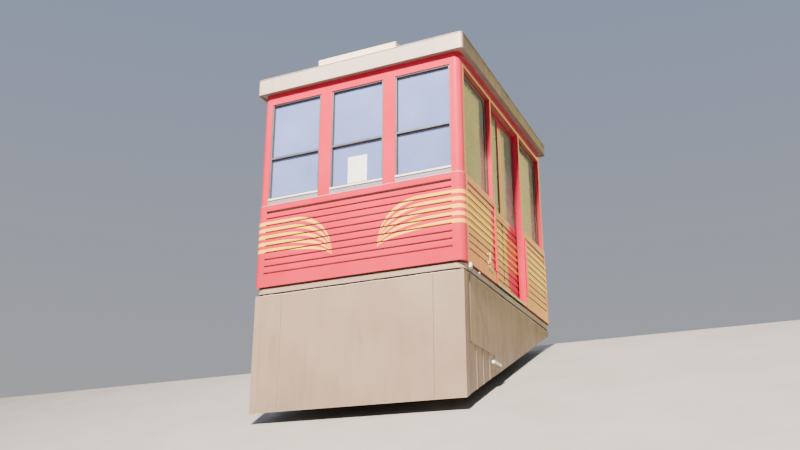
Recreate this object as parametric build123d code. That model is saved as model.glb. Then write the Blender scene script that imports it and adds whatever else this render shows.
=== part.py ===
"""Funicular car: a level cabin on a wedge-shaped underframe for an inclined track.

Millimetres. +X is right looking uphill, +Y uphill and +Z up, with the cabin floor level.
The origin is the middle of the rail-top plane between the four wheels, and that plane rises
along +Y at the grade. Pieces on the underframe are drawn with the track level and then turned
onto the grade.
"""

import os
from math import cos, radians, sin, tan

from build123d import *

os.makedirs("parts", exist_ok=True)

# Track
GRADE = 22.5
GAUGE = 1435.0
RAIL_HEAD = 70.0
RISE = tan(radians(GRADE))

# Cabin body
CAR_WIDTH = 2700.0
CAR_LENGTH = 3240.0
WALL = 90.0
CORNER_RADIUS = 87.0
LOUVRE_PITCH = 87.0
BELT_PITCHES = 12
BELT_EDGE_RADIUS = 9.0
GROOVE_COUNT = 10
GROOVE_HEIGHT = 13.0
FIRST_GROOVE_HEIGHT = 28.0
GROOVE_DEPTH = 15.0
BOARD_LEAN = 5.0
CORNER_ARM = 139.0
CORNER_SKIN = 10.0
MULLION_WIDTH = 165.0
POST_EDGE_RADIUS = 12.0
SILL_HEIGHT = 82.0
SILL_BEAD = 22.0
END_PANE_HEIGHT = 1296.0
HEADER_HEIGHT = 157.0
FRAME_WIDTH = 14.0
FRAME_DEPTH = 30.0
FRAME_INSET = 10.0
FRAME_BAR = 26.0
BAR_DROP = 752.0
SIDE_FRAME_WIDTH = 45.0
SIDE_FRAME_DEPTH = 12.0
SIDE_FRAME_RADIUS = 70.0
PANE = 8.0
DECK = 30.0

# Doors
DOOR_OPENING = 1100.0
DOOR_POST_WIDTH = 37.0
DOOR_POST_PROUD = 6.0
END_STRIP_WIDTH = 22.0
END_STRIP_PROUD = 22.0
END_STRIP_GAP = 11.0
LEAF_THICKNESS = 36.0
LEAF_LAP = 40.0
LEAF_GAP = 6.0
LEAF_WALL_GAP = 7.0
LEAF_FOOT_GAP = 8.0
LEAF_MEETING_STILE = 42.0
LEAF_OUTER_STILE = 60.0
LEAF_TOP_RAIL = 100.0
LEAF_HEAD_LAP = 58.0
LEAF_BELT_RAIL = 20.0
LEAF_WINDOW_RADIUS = 40.0
HANGER_THICKNESS = 12.0
HANGER_WIDTH = 70.0
HANGER_HEIGHT = 52.0
TRACK_WALL = 8.0
TRACK_GAP = 7.0
TRACK_LENGTH = 2100.0

# Roof
ROOF_OVERHANG = 60.0
FASCIA_DOWNHILL = 200.0
FASCIA_UPHILL = 129.0
FASCIA_THICKNESS = 30.0
FASCIA_DRIP = 10.0
FASCIA_RADIUS = 45.0
ROOF_SINK = 12.0
ROOF_BOX_WIDTH = 1066.0
ROOF_BOX_HEIGHT = 100.0

# Floor frame and skirts
DECK_EDGE = 17.0
DECK_SETBACK = 45.0
SILL_DEPTH = 61.0
SILL_WIDTH = 100.0
SILL_SETBACK = 22.0
SILL_CORNER_RADIUS = 100.0
BEARER_COUNT = 5
BEARER_WIDTH = 90.0
BEARER_END_GAP = 73.0
SKIRT_SETBACK = 30.0
SKIRT_SHEET = 12.0
SKIRT_TOP_GAP = 22.0
SKIRT_CLEARANCE = 100.0
SKIRT_SEAM = 3.0
SKIRT_TUBE = 40.0
END_SEAM = 360.0
SEAM_BRAKE_GAP = 230.0
COVER_EDGE = 180.0
COVER_HEIGHT = 765.0
COVER_RADIUS = 30.0
RECESS_DEPTH = 8.0
RIB_COUNT = 3
RIB_PITCH = 205.0
RIB_WIDTH = 14.0
RIB_SETBACK = 2.0
TRIM_ARM = 80.0
TRIM_THICKNESS = 4.0

# Underframe on the grade: u runs uphill along the rails, v is the height above them
AXLE_OVERHANG = 520.0
WHEEL_HEADROOM = 50.0
TREAD_RADIUS = 180.0
FLANGE_HEIGHT = 25.0
FLANGE_ROOT = 30.0
FLANGE_TIP = 18.0
TREAD_CLEARANCE = 5.0
ROLLER_WIDTH = 200.0
RIM_THICKNESS = 38.0
WEB_THICKNESS = 24.0
HUB_RADIUS = 100.0
HUB_LENGTH = 130.0
AXLE_RADIUS = 62.0
JOURNAL_RADIUS = 45.0
JOURNAL_CLEARANCE = 0.08
JOURNAL_SHOULDER = 25.0
SOLE_BAR_GAP = 37.5
SOLE_BAR_WIDTH = 80.0
SOLE_BAR_FOOT = 250.0
SOLE_BAR_HEIGHT = 160.0
AXLE_BOX_RADIUS = 95.0
AXLE_BOX_COVER = 12.0
FRAME_POST = 90.0
POST_COUNT = 4
CROSS_WIDTH = 80.0
CROSS_HEIGHT = 160.0
CROSS_WHEEL_GAP = 35.0
ROPE_MEMBER_HEIGHT = 70.0
OUTRIGGER_WIDTH = 60.0
BRACE_HEIGHT = 80.0
BRACE_WIDTH = 60.0
BRACE_FOOT_GAP = 20.0
BRAKE_PLACE = 450.0
BRAKE_LENGTH = 240.0
BRAKE_WIDTH = 180.0
BRAKE_RADIUS = 20.0
JAW_LENGTH = 160.0
JAW_THICKNESS = 25.0
JAW_GAP = 10.0
JAW_FOOT = -18.0
JAW_HEAD = 70.0
ROPE_PIN_RADIUS = 16.0
ROPE_REACH = 220.0
ROPE_PIN_V = 160.0
CLEVIS_GAP = 54.0
CLEVIS_EAR = 20.0
CLEVIS_RADIUS = 38.0

# Cabin fittings
BENCH_HEIGHT = 450.0
BENCH_DEPTH = 420.0
BENCH_SIDE_GAP = 160.0
BENCH_LIP = 45.0
BENCH_TOE = 60.0
POLE_RADIUS = 17.0
POLE_FLANGE_RADIUS = 36.0
POLE_FLANGE = 8.0
POLE_X = 620.0
POLE_Y = 640.0
LIGHT_X = 800.0
LIGHT_HALF_WIDTH = 70.0
LIGHT_HALF_LENGTH = 900.0
LIGHT_DEPTH = 38.0
LIGHT_RADIUS = 14.0
PLACARD_WIDTH = 257.0
PLACARD_HEIGHT = 367.0
PLACARD_THICKNESS = 4.0

# Fittings on the right-hand side near the downhill corner
BOX_PROUD = 42.0
BOX_HEIGHT = 53.0
BOX_LENGTH = 35.0
BOX_HEAD_GAP = 3.0
BOX_CORNER_GAP = 108.0
CONDUIT_RADIUS = 6.0
CONDUIT_ABOVE_SILL_FOOT = 4.0
CONDUIT_END_GAP = 190.0
CONDUIT_LENGTH = 1100.0
CONDUIT_CLIP_COUNT = 3
CONDUIT_CLIP_INSET = 60.0
CLIP_LENGTH = 22.0
CLIP_HEIGHT = 26.0
HANDLE_POST_GAP = 298.0
HANDLE_ABOVE_FOOT = 168.0
HANDLE_LENGTH = 117.0
HANDLE_RADIUS = 6.0
HANDLE_REACH = 30.0
PLATE_POST_GAP = 113.0
PLATE_LENGTH = 125.0
PLATE_ABOVE_FOOT = 95.0
PLATE_HEIGHT = 66.0
PLATE_THICKNESS = 6.0
BAR_PLACE = -660.0
BAR_ABOVE_FOOT = 130.0
BAR_LENGTH = 250.0
BAR_SIZE = 34.0
BAR_RADIUS = 8.0

# Worked out from the sizes above: the floor frame stands just clear of the upper wheels
HALF_W = CAR_WIDTH / 2
HALF_L = CAR_LENGTH / 2
AXLE_HALF = HALF_L - AXLE_OVERHANG
WHEEL_TOP = AXLE_HALF * sin(radians(GRADE)) + TREAD_RADIUS * cos(radians(GRADE)) + TREAD_RADIUS + FLANGE_HEIGHT
BODY_FOOT = WHEEL_TOP + WHEEL_HEADROOM + SILL_DEPTH + DECK_EDGE
BELT_HEIGHT = BELT_PITCHES * LOUVRE_PITCH
BELT_TOP = BODY_FOOT + BELT_HEIGHT
PANE_FOOT = BELT_TOP + SILL_HEIGHT
HEADER_FOOT = PANE_FOOT + END_PANE_HEIGHT
EAVES = HEADER_FOOT + HEADER_HEIGHT
INNER_X = HALF_W - WALL
INNER_Y = HALF_L - WALL
SILL_TOP = BODY_FOOT - DECK_EDGE
SILL_FOOT = SILL_TOP - SILL_DEPTH
DECK_TOP = BODY_FOOT + DECK
DOOR_HALF = DOOR_OPENING / 2
BAY_START = DOOR_HALF + DOOR_POST_WIDTH
BAY_END = HALF_L - CORNER_ARM
END_HALF = HALF_W - CORNER_ARM
END_PANE_WIDTH = (2 * END_HALF - 2 * MULLION_WIDTH) / 3
END_PITCH = END_PANE_WIDTH + MULLION_WIDTH
LEAF_FACE = INNER_X - LEAF_WALL_GAP
SKIRT_X = HALF_W - SKIRT_SETBACK
SKIRT_Y = HALF_L - SKIRT_SETBACK
SKIRT_TOP = SILL_FOOT - SKIRT_TOP_GAP
RAIL_CENTRE = (GAUGE + RAIL_HEAD) / 2
SOLE_BAR_INNER = RAIL_CENTRE + ROLLER_WIDTH / 2 + SOLE_BAR_GAP
SOLE_BAR_OUTER = SOLE_BAR_INNER + SOLE_BAR_WIDTH
SOLE_BAR_HEAD = SOLE_BAR_FOOT + SOLE_BAR_HEIGHT
CROSS_END = AXLE_HALF + TREAD_RADIUS + FLANGE_HEIGHT + CROSS_WHEEL_GAP + CROSS_WIDTH / 2


def span(x, y, z):
    """A box between the low and high ends given for each axis."""
    size = [high - low for low, high in (x, y, z)]
    middle = [(low + high) / 2 for low, high in (x, y, z)]
    return Pos(*middle) * Box(*size)


def on_grade(shape):
    """Turns a shape drawn with the track level onto the grade."""
    return Rot(GRADE, 0, 0) * shape


def across(points, x_low, x_high):
    """A plate between two X values whose side outline is a list of (y, z) points."""
    outline = make_face(Plane.YZ * Polyline(*points, close=True))
    return Pos(x_low, 0, 0) * extrude(outline, amount=x_high - x_low, dir=(1, 0, 0))


def both_sides(shape):
    """The shape and its mirror image on the other side of the car."""
    return [shape, mirror(shape, about=Plane.YZ)]


def both_ends(shape):
    """The shape and its mirror image at the other end of the car."""
    return [shape, mirror(shape, about=Plane.XZ)]


def all_corners(shape):
    """The shape repeated in the four quarters of the plan."""
    return [twin for side in both_sides(shape) for twin in both_ends(side)]


def write(name, *shapes):
    """Writes the solids of the shapes as one node."""
    solids = [solid for shape in shapes for solid in shape.solids()]
    node = solids[0] if len(solids) == 1 else Compound(children=solids)
    node.label = name
    export_step(node, f"parts/{name}.step")


def track_height(y, above=0.0):
    """Height of a line parallel to the rails, `above` them, at a place along the car."""
    return y * RISE + above / cos(radians(GRADE))


# Louvred belt: boards lapped like siding, drawn facing +Y with the face at y = 0 and z = 0 at
# the body's foot, so that every wall and door leaf has its grooves at the same heights.
def belt_face(foot, head):
    """Points up the outer face from foot to head, with a groove at each board's lap."""
    points = [(0.0, foot)]
    for number in range(GROOVE_COUNT, 0, -1):
        slot = FIRST_GROOVE_HEIGHT if number == 1 else GROOVE_HEIGHT
        lap = BELT_HEIGHT - number * LOUVRE_PITCH
        if number == GROOVE_COUNT:
            points.append((0.0, lap - slot - BOARD_LEAN))
        points.append((-BOARD_LEAN, lap - slot))
        points.append((-GROOVE_DEPTH, lap - slot))
        points.append((-GROOVE_DEPTH, lap))
        points.append((0.0, lap))
    points.append((0.0, head))
    return points


def belt_panel(width, thickness):
    """A length of louvred belt with a rounded top edge."""
    points = belt_face(0.0, BELT_HEIGHT) + [(-thickness, BELT_HEIGHT), (-thickness, 0.0)]
    outline = make_face(Plane.YZ * Polyline(*points, close=True))
    panel = extrude(outline, amount=width / 2, both=True)
    top = panel.edges().filter_by(Axis.X).sort_by(lambda e: e.center().Z + e.center().Y)[-1]
    return fillet(top, BELT_EDGE_RADIUS)


def plan_angle(half_x, half_y, arm, thickness, radius, height):
    """An upright angle with a round outer corner at the plan's (+X, +Y) corner."""
    outer = RectangleRounded(2 * half_x, 2 * half_y, radius)
    inner_radius = radius - thickness
    inner_size = (2 * (half_x - thickness), 2 * (half_y - thickness))
    inner = RectangleRounded(*inner_size, inner_radius) if inner_radius > 0 else Rectangle(*inner_size)
    corner = Pos(half_x - arm / 2, half_y - arm / 2) * Rectangle(arm, arm)
    return extrude((outer - inner) & corner, amount=height)


# Walls of the cabin
end_panel = Pos(0, HALF_L, BODY_FOOT) * belt_panel(2 * END_HALF, WALL)
write("end_panels", *both_ends(end_panel))

bay_width = BAY_END - BAY_START
bay_middle = (BAY_START + BAY_END) / 2
bay_panel = Pos(HALF_W, bay_middle, BODY_FOOT) * Rot(0, 0, -90) * belt_panel(bay_width, WALL)
write("side_panels", *all_corners(bay_panel))

belt_block = extrude(RectangleRounded(CAR_WIDTH, CAR_LENGTH, CORNER_RADIUS), amount=BELT_HEIGHT)
belt_block = fillet(belt_block.edges().group_by(Axis.Z)[-1], BELT_EDGE_RADIUS)
corner_skin = plan_angle(HALF_W, HALF_L, CORNER_ARM, CORNER_SKIN, CORNER_RADIUS, BELT_HEIGHT) & belt_block
write("belt_corners", *all_corners(Pos(0, 0, BODY_FOOT) * corner_skin))

post_x = HALF_W - CORNER_SKIN
post_y = HALF_L - CORNER_SKIN
corner_post = plan_angle(
    post_x, post_y, CORNER_ARM - CORNER_SKIN, WALL - CORNER_SKIN, CORNER_RADIUS - CORNER_SKIN, EAVES - BODY_FOOT
)
write("corner_posts", *all_corners(Pos(0, 0, BODY_FOOT) * corner_post))

mullion = span((-MULLION_WIDTH / 2, MULLION_WIDTH / 2), (INNER_Y, post_y), (BELT_TOP, HEADER_FOOT))
mullion = fillet(mullion.edges().filter_by(Axis.Z).group_by(Axis.Y)[-1], POST_EDGE_RADIUS)
write("end_mullions", *all_corners(Pos(END_PITCH / 2, 0, 0) * mullion))

end_header = span((-END_HALF, END_HALF), (INNER_Y, post_y), (HEADER_FOOT, EAVES))
side_header = span((INNER_X, post_x), (-BAY_END, BAY_END), (HEADER_FOOT, EAVES))
write("header_rails", *both_ends(end_header), *both_sides(side_header))

# End windows: a light sill with a bead, a thin frame with a cross bar, and the pane behind it
sill_outline = [
    (INNER_Y, BELT_TOP),
    (post_y, BELT_TOP),
    (post_y, PANE_FOOT - SILL_BEAD),
    (post_y + CORNER_SKIN / 2, PANE_FOOT - SILL_BEAD),
    (post_y + CORNER_SKIN / 2, PANE_FOOT),
    (INNER_Y, PANE_FOOT),
]
end_sill = across(sill_outline, -END_PANE_WIDTH / 2, END_PANE_WIDTH / 2)
frame_face = post_y - FRAME_INSET
end_opening = span(
    (-END_PANE_WIDTH / 2, END_PANE_WIDTH / 2), (frame_face - FRAME_DEPTH, frame_face), (PANE_FOOT, HEADER_FOOT)
)
end_clear = span(
    (-END_PANE_WIDTH / 2 + FRAME_WIDTH, END_PANE_WIDTH / 2 - FRAME_WIDTH),
    (frame_face - FRAME_DEPTH, frame_face),
    (PANE_FOOT + FRAME_WIDTH, HEADER_FOOT - FRAME_WIDTH),
)
bar_middle = HEADER_FOOT - BAR_DROP
end_bar = span(
    (-END_PANE_WIDTH / 2, END_PANE_WIDTH / 2),
    (frame_face - FRAME_DEPTH, frame_face),
    (bar_middle - FRAME_BAR / 2, bar_middle + FRAME_BAR / 2),
)
end_frame = end_opening - end_clear + end_bar
end_pane = span(
    (-END_PANE_WIDTH / 2, END_PANE_WIDTH / 2),
    (frame_face - FRAME_DEPTH - PANE, frame_face - FRAME_DEPTH),
    (PANE_FOOT, HEADER_FOOT),
)
end_places = [Pos(column * END_PITCH, 0, 0) for column in (-1, 0, 1)]
for name, piece in (("window_sills", end_sill), ("end_window_frames", end_frame), ("end_glass", end_pane)):
    write(name, *[twin for place in end_places for twin in both_ends(place * piece)])

# Side windows, deep behind the wall's face, with rounded corners
side_height = HEADER_FOOT - BELT_TOP
frame_plan = Rectangle(bay_width, side_height) - RectangleRounded(
    bay_width - 2 * SIDE_FRAME_WIDTH, side_height - 2 * SIDE_FRAME_WIDTH, SIDE_FRAME_RADIUS
)
side_frame = extrude(Plane.YZ * frame_plan, amount=SIDE_FRAME_DEPTH)
side_frame = Pos(INNER_X + PANE, bay_middle, BELT_TOP + side_height / 2) * side_frame
side_pane = span((INNER_X, INNER_X + PANE), (BAY_START, BAY_END), (BELT_TOP, HEADER_FOOT))
write("side_window_frames", *all_corners(side_frame))
write("side_glass", *all_corners(side_pane))

# Doorways: posts standing proud of the belt, strips over the ends of the belt's boards, a
# threshold, and a channel that the leaves hang in
door_post = span((INNER_X, HALF_W + DOOR_POST_PROUD), (DOOR_HALF, BAY_START), (BODY_FOOT, BELT_TOP))
door_post += span((INNER_X, post_x), (DOOR_HALF, BAY_START), (BELT_TOP, HEADER_FOOT))
write("door_posts", *all_corners(door_post))
strip_low = BELT_TOP - GROOVE_COUNT * LOUVRE_PITCH - GROOVE_HEIGHT - END_STRIP_GAP
strip_high = BELT_TOP - LOUVRE_PITCH - FIRST_GROOVE_HEIGHT - END_STRIP_GAP
end_strip = span((HALF_W, HALF_W + END_STRIP_PROUD), (BAY_START, BAY_START + END_STRIP_WIDTH), (strip_low, strip_high))
write("belt_end_strips", *all_corners(end_strip))
threshold = span((INNER_X, HALF_W), (-DOOR_HALF, DOOR_HALF), (BODY_FOOT, DECK_TOP))
write("door_thresholds", *both_sides(threshold))

leaf_back = LEAF_FACE - LEAF_THICKNESS
leaf_foot = DECK_TOP + LEAF_FOOT_GAP
leaf_head = HEADER_FOOT + LEAF_HEAD_LAP
leaf_width = DOOR_HALF + LEAF_LAP - LEAF_GAP / 2
leaf_middle = LEAF_GAP / 2 + leaf_width / 2
hanger_middle = (LEAF_FACE + leaf_back) / 2
channel_half = HANGER_THICKNESS / 2 + TRACK_GAP
channel_foot = leaf_head + TRACK_GAP
channel_head = leaf_head + HANGER_HEIGHT + TRACK_GAP
door_track = span(
    (hanger_middle - channel_half - TRACK_WALL, INNER_X),
    (-TRACK_LENGTH / 2, TRACK_LENGTH / 2),
    (channel_foot, channel_head + TRACK_WALL),
)
door_track -= span(
    (hanger_middle - channel_half, hanger_middle + channel_half),
    (-TRACK_LENGTH / 2, TRACK_LENGTH / 2),
    (channel_foot, channel_head),
)
write("door_tracks", *both_sides(door_track))

leaf_points = belt_face(leaf_foot - BODY_FOOT, leaf_head - BODY_FOOT)
leaf_points += [(-LEAF_THICKNESS, leaf_head - BODY_FOOT), (-LEAF_THICKNESS, leaf_foot - BODY_FOOT)]
leaf = extrude(make_face(Plane.YZ * Polyline(*leaf_points, close=True)), amount=leaf_width / 2, both=True)
window_low = BELT_HEIGHT + LEAF_BELT_RAIL
window_high = leaf_head - BODY_FOOT - LEAF_TOP_RAIL
window_width = leaf_width - LEAF_MEETING_STILE - LEAF_OUTER_STILE
window_shift = (LEAF_OUTER_STILE - LEAF_MEETING_STILE) / 2
window_plan = RectangleRounded(window_width, window_high - window_low, LEAF_WINDOW_RADIUS)
window_place = Pos(window_shift, 0, (window_low + window_high) / 2)
window_hole = window_place * extrude(Plane.XZ * window_plan, amount=LEAF_THICKNESS)
pane_depth = (LEAF_THICKNESS - PANE) / 2
leaf_pane = window_place * Pos(0, -pane_depth, 0) * extrude(Plane.XZ * window_plan, amount=PANE)
hanger = span(
    (-HANGER_WIDTH / 2, HANGER_WIDTH / 2),
    (-(LEAF_THICKNESS + HANGER_THICKNESS) / 2, -(LEAF_THICKNESS - HANGER_THICKNESS) / 2),
    (leaf_head - BODY_FOOT, leaf_head - BODY_FOOT + HANGER_HEIGHT),
)
leaf = leaf - window_hole
for side in (-1, 1):
    leaf += Pos(side * leaf_width / 4, 0, 0) * hanger
leaf_place = Pos(LEAF_FACE, -leaf_middle, BODY_FOOT) * Rot(0, 0, -90)
for end, about_end in (("lower", None), ("upper", Plane.XZ)):
    for side, about_side in (("right", None), ("left", Plane.YZ)):
        for kind, piece in (("door_leaf", leaf), ("door_glass", leaf_pane)):
            placed = leaf_place * piece
            for about in (about_end, about_side):
                placed = mirror(placed, about=about) if about else placed
            write(f"{kind}_{side}_{end}", placed)

# Roof: the fascia is deeper at the downhill end, and the roof falls gently to the uphill end
roof_x = HALF_W + ROOF_OVERHANG
roof_y = HALF_L + ROOF_OVERHANG


def roof_block(half_x, half_y, foot, above, radius):
    """A block over the plan whose top follows the fascia's rim, plus `above`."""
    plan = extrude(RectangleRounded(2 * half_x, 2 * half_y, radius), amount=2 * FASCIA_DOWNHILL)
    rim = [
        (-roof_y, foot),
        (roof_y, foot),
        (roof_y, EAVES + FASCIA_UPHILL + above),
        (-roof_y, EAVES + FASCIA_DOWNHILL + above),
    ]
    return (Pos(0, 0, foot) * plan) & across(rim, -roof_x, roof_x)


fascia_outer = roof_block(roof_x, roof_y, EAVES - FASCIA_DRIP, 0.0, FASCIA_RADIUS)
inner_size = (roof_x - FASCIA_THICKNESS, roof_y - FASCIA_THICKNESS)
fascia_inner = roof_block(*inner_size, EAVES - FASCIA_DRIP, 0.0, FASCIA_RADIUS - FASCIA_THICKNESS)
write("roof_fascia", fascia_outer - fascia_inner)
write("roof_shell", roof_block(*inner_size, EAVES, -ROOF_SINK, FASCIA_RADIUS - FASCIA_THICKNESS))
roof_fall = (FASCIA_DOWNHILL - FASCIA_UPHILL) / (2 * roof_y)
roof_box_rim = [
    (y, EAVES + (FASCIA_DOWNHILL + FASCIA_UPHILL) / 2 - roof_fall * y + above)
    for y, above in (
        (-inner_size[1], -ROOF_SINK),
        (inner_size[1], -ROOF_SINK),
        (inner_size[1], ROOF_BOX_HEIGHT),
        (-inner_size[1], ROOF_BOX_HEIGHT),
    )
]
write("roof_box", across(roof_box_rim, -ROOF_BOX_WIDTH / 2, ROOF_BOX_WIDTH / 2))

# Cabin fittings: a bench across each end, poles, ceiling lights and a blank placard
bench_outline = [
    (INNER_Y, DECK_TOP),
    (INNER_Y, DECK_TOP + BENCH_HEIGHT),
    (INNER_Y - BENCH_DEPTH, DECK_TOP + BENCH_HEIGHT),
    (INNER_Y - BENCH_DEPTH, DECK_TOP + BENCH_HEIGHT - BENCH_LIP),
    (INNER_Y - BENCH_DEPTH + BENCH_LIP, DECK_TOP + BENCH_HEIGHT - BENCH_LIP),
    (INNER_Y - BENCH_DEPTH + BENCH_LIP + BENCH_TOE, DECK_TOP),
]
bench_half = INNER_X - BENCH_SIDE_GAP
write("benches", *both_ends(across(bench_outline, -bench_half, bench_half)))

pole_length = EAVES - DECK_TOP
pole = Pos(0, 0, pole_length / 2) * Cylinder(POLE_RADIUS, pole_length)
for middle in (POLE_FLANGE / 2, pole_length - POLE_FLANGE / 2):
    pole += Pos(0, 0, middle) * Cylinder(POLE_FLANGE_RADIUS, POLE_FLANGE)
write("grab_poles", *all_corners(Pos(POLE_X, POLE_Y, DECK_TOP) * pole))

light = span(
    (LIGHT_X - LIGHT_HALF_WIDTH, LIGHT_X + LIGHT_HALF_WIDTH),
    (-LIGHT_HALF_LENGTH, LIGHT_HALF_LENGTH),
    (EAVES - LIGHT_DEPTH, EAVES),
)
light = fillet(light.edges().group_by(Axis.Z)[0], LIGHT_RADIUS)
write("ceiling_lights", *both_sides(light))

pane_back = frame_face - FRAME_DEPTH - PANE
placard = span(
    (-PLACARD_WIDTH / 2, PLACARD_WIDTH / 2),
    (-pane_back, PLACARD_THICKNESS - pane_back),
    (PANE_FOOT, PANE_FOOT + PLACARD_HEIGHT),
)
write("placard", placard)

# Floor: a plate under the walls whose edge shows as a dark line, on sills with round corners
deck_edge = RectangleRounded(CAR_WIDTH - 2 * DECK_SETBACK, CAR_LENGTH - 2 * DECK_SETBACK, SILL_CORNER_RADIUS)
floor_plate = Pos(0, 0, SILL_TOP) * extrude(deck_edge, amount=DECK_EDGE)
deck = floor_plate + span((-INNER_X, INNER_X), (-INNER_Y, INNER_Y), (BODY_FOOT, DECK_TOP))
write("floor_deck", deck)

sill_x = HALF_W - SILL_SETBACK
sill_y = HALF_L - SILL_SETBACK
sill_plan = RectangleRounded(2 * sill_x, 2 * sill_y, SILL_CORNER_RADIUS)
end_beam_plan = sill_plan & (Pos(0, sill_y - SILL_WIDTH / 2) * Rectangle(2 * sill_x, SILL_WIDTH))
end_beam = Pos(0, 0, SILL_FOOT) * extrude(end_beam_plan, amount=SILL_DEPTH)
side_sill = span((sill_x - SILL_WIDTH, sill_x), (SILL_WIDTH - sill_y, sill_y - SILL_WIDTH), (SILL_FOOT, SILL_TOP))
write("end_beams", *both_ends(end_beam))
write("side_sills", *both_sides(side_sill))
bearer_half = sill_x - SILL_WIDTH
bearer = span((-bearer_half, bearer_half), (-BEARER_WIDTH / 2, BEARER_WIDTH / 2), (SILL_FOOT, SILL_TOP))
bearer_end = sill_y - SILL_WIDTH - BEARER_END_GAP - BEARER_WIDTH / 2
bearer_places = [bearer_end * (2 * number / (BEARER_COUNT - 1) - 1) for number in range(BEARER_COUNT)]
write("floor_bearers", *[Pos(0, place, 0) * bearer for place in bearer_places])

# Skirts: flat sheets whose foot runs parallel to the rails, on tubes inside them
skirt_in_x = SKIRT_X - SKIRT_SHEET
skirt_in_y = SKIRT_Y - SKIRT_SHEET


def skirt_sheet(y_low, y_high, x_low, x_high, foot, head):
    """A sheet between two places along the car, its foot parallel to the rails."""
    outline = [
        (y_low, track_height(y_low, foot)),
        (y_high, track_height(y_high, foot)),
        (y_high, head),
        (y_low, head),
    ]
    return across(outline, x_low, x_high)


end_seams = [-SKIRT_X, END_SEAM - SKIRT_X, SKIRT_X - END_SEAM, SKIRT_X]
end_sheets = []
for low, high in zip(end_seams, end_seams[1:]):
    gap_low = SKIRT_SEAM / 2 if low > -SKIRT_X else 0.0
    gap_high = SKIRT_SEAM / 2 if high < SKIRT_X else 0.0
    for y_low, y_high in ((-SKIRT_Y, -skirt_in_y), (skirt_in_y, SKIRT_Y)):
        end_sheets.append(skirt_sheet(y_low, y_high, low + gap_low, high - gap_high, SKIRT_CLEARANCE, SKIRT_TOP))
write("end_skirts", *end_sheets)

# The side's first sheet has a raised cover that ends short of the corner and above the foot, with
# a ribbed panel below it
recess_x = (SKIRT_X - RECESS_DEPTH, SKIRT_X)
side_seam = BRAKE_PLACE + SEAM_BRAKE_GAP
recess_y = (TRIM_ARM - SKIRT_Y, -side_seam)
recess_foot = track_height(-HALF_L, SKIRT_CLEARANCE)
cover_low = COVER_EDGE - SKIRT_Y
cover_foot = SKIRT_TOP - COVER_HEIGHT
cover = span(recess_x, (cover_low, recess_y[1]), (cover_foot, SKIRT_TOP))
cover = fillet(cover.edges().filter_by(Axis.X).group_by(Axis.Y)[0], COVER_RADIUS)
recess = span(recess_x, recess_y, (recess_foot, SKIRT_TOP)) - cover
for number in range(1, RIB_COUNT + 1):
    rib_end = recess_y[1] - (number - 0.25) * RIB_PITCH
    recess -= span((recess_x[0], SKIRT_X - RIB_SETBACK), (rib_end - RIB_WIDTH, rib_end), (recess_foot, cover_foot))
side_seams = [-skirt_in_y, -side_seam, 0.0, side_seam, skirt_in_y]
side_sheets = []
for low, high in zip(side_seams, side_seams[1:]):
    gap_low = SKIRT_SEAM / 2 if low > -skirt_in_y else 0.0
    gap_high = SKIRT_SEAM / 2 if high < skirt_in_y else 0.0
    sheet = skirt_sheet(low + gap_low, high - gap_high, skirt_in_x, SKIRT_X, SKIRT_CLEARANCE, SKIRT_TOP)
    side_sheets += both_sides(sheet if gap_low else sheet - recess)
write("side_skirts", *side_sheets)

trim_plan = Pos(SKIRT_X - TRIM_ARM / 2, SKIRT_Y - TRIM_ARM / 2) * Rectangle(
    TRIM_ARM + 2 * TRIM_THICKNESS, TRIM_ARM + 2 * TRIM_THICKNESS
)
trim_plan &= Rectangle(2 * (SKIRT_X + TRIM_THICKNESS), 2 * (SKIRT_Y + TRIM_THICKNESS))
trim_plan -= Rectangle(2 * SKIRT_X, 2 * SKIRT_Y)
trim_reach = HALF_L * 2
trim_body = Pos(0, 0, SKIRT_TOP - trim_reach) * extrude(trim_plan, amount=trim_reach)
trims = []
for trim in all_corners(trim_body):
    trims.append(trim & skirt_sheet(-HALF_L, HALF_L, -HALF_W, HALF_W, SKIRT_CLEARANCE, SKIRT_TOP))
write("skirt_corner_trims", *trims)

# The tubes behind the sheets: a sloping rail along each side's foot and uprights above it
rail_foot = SKIRT_CLEARANCE + TRIM_THICKNESS
rail_head = rail_foot + SKIRT_TUBE
tube_low = skirt_in_x - SKIRT_TUBE
frame_y = skirt_in_y - SKIRT_TUBE
skirt_rail = [
    (-skirt_in_y, track_height(-skirt_in_y, rail_foot)),
    (skirt_in_y, track_height(skirt_in_y, rail_foot)),
    (skirt_in_y, track_height(skirt_in_y, rail_head)),
    (-skirt_in_y, track_height(-skirt_in_y, rail_head)),
]
end_rail_foot = track_height(-skirt_in_y, rail_foot) + SKIRT_TUBE
end_rail = span(
    (-tube_low, tube_low), (-skirt_in_y, SKIRT_TUBE - skirt_in_y), (end_rail_foot, end_rail_foot + SKIRT_TUBE)
)
write("skirt_rails", *both_sides(across(skirt_rail, tube_low, skirt_in_x)), end_rail)
head_z = (SILL_FOOT - SKIRT_TUBE, SILL_FOOT)
side_head = span((tube_low - SKIRT_TUBE, tube_low), (-frame_y, frame_y), head_z)
end_head = span((-skirt_in_x + SKIRT_TUBE, skirt_in_x - SKIRT_TUBE), (frame_y, skirt_in_y), head_z)
write("skirt_head_rails", *both_sides(side_head), *both_ends(end_head))
skirt_posts = []
for seam in side_seams:
    low = min(max(seam - SKIRT_TUBE / 2, -skirt_in_y), skirt_in_y - SKIRT_TUBE)
    outline = [
        (low, track_height(low, rail_head)),
        (low + SKIRT_TUBE, track_height(low + SKIRT_TUBE, rail_head)),
        (low + SKIRT_TUBE, SILL_FOOT),
        (low, SILL_FOOT),
    ]
    if track_height(low + SKIRT_TUBE, rail_head) < SILL_FOOT:
        skirt_posts += both_sides(across(outline, tube_low, skirt_in_x))
write("skirt_posts", *skirt_posts)

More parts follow.
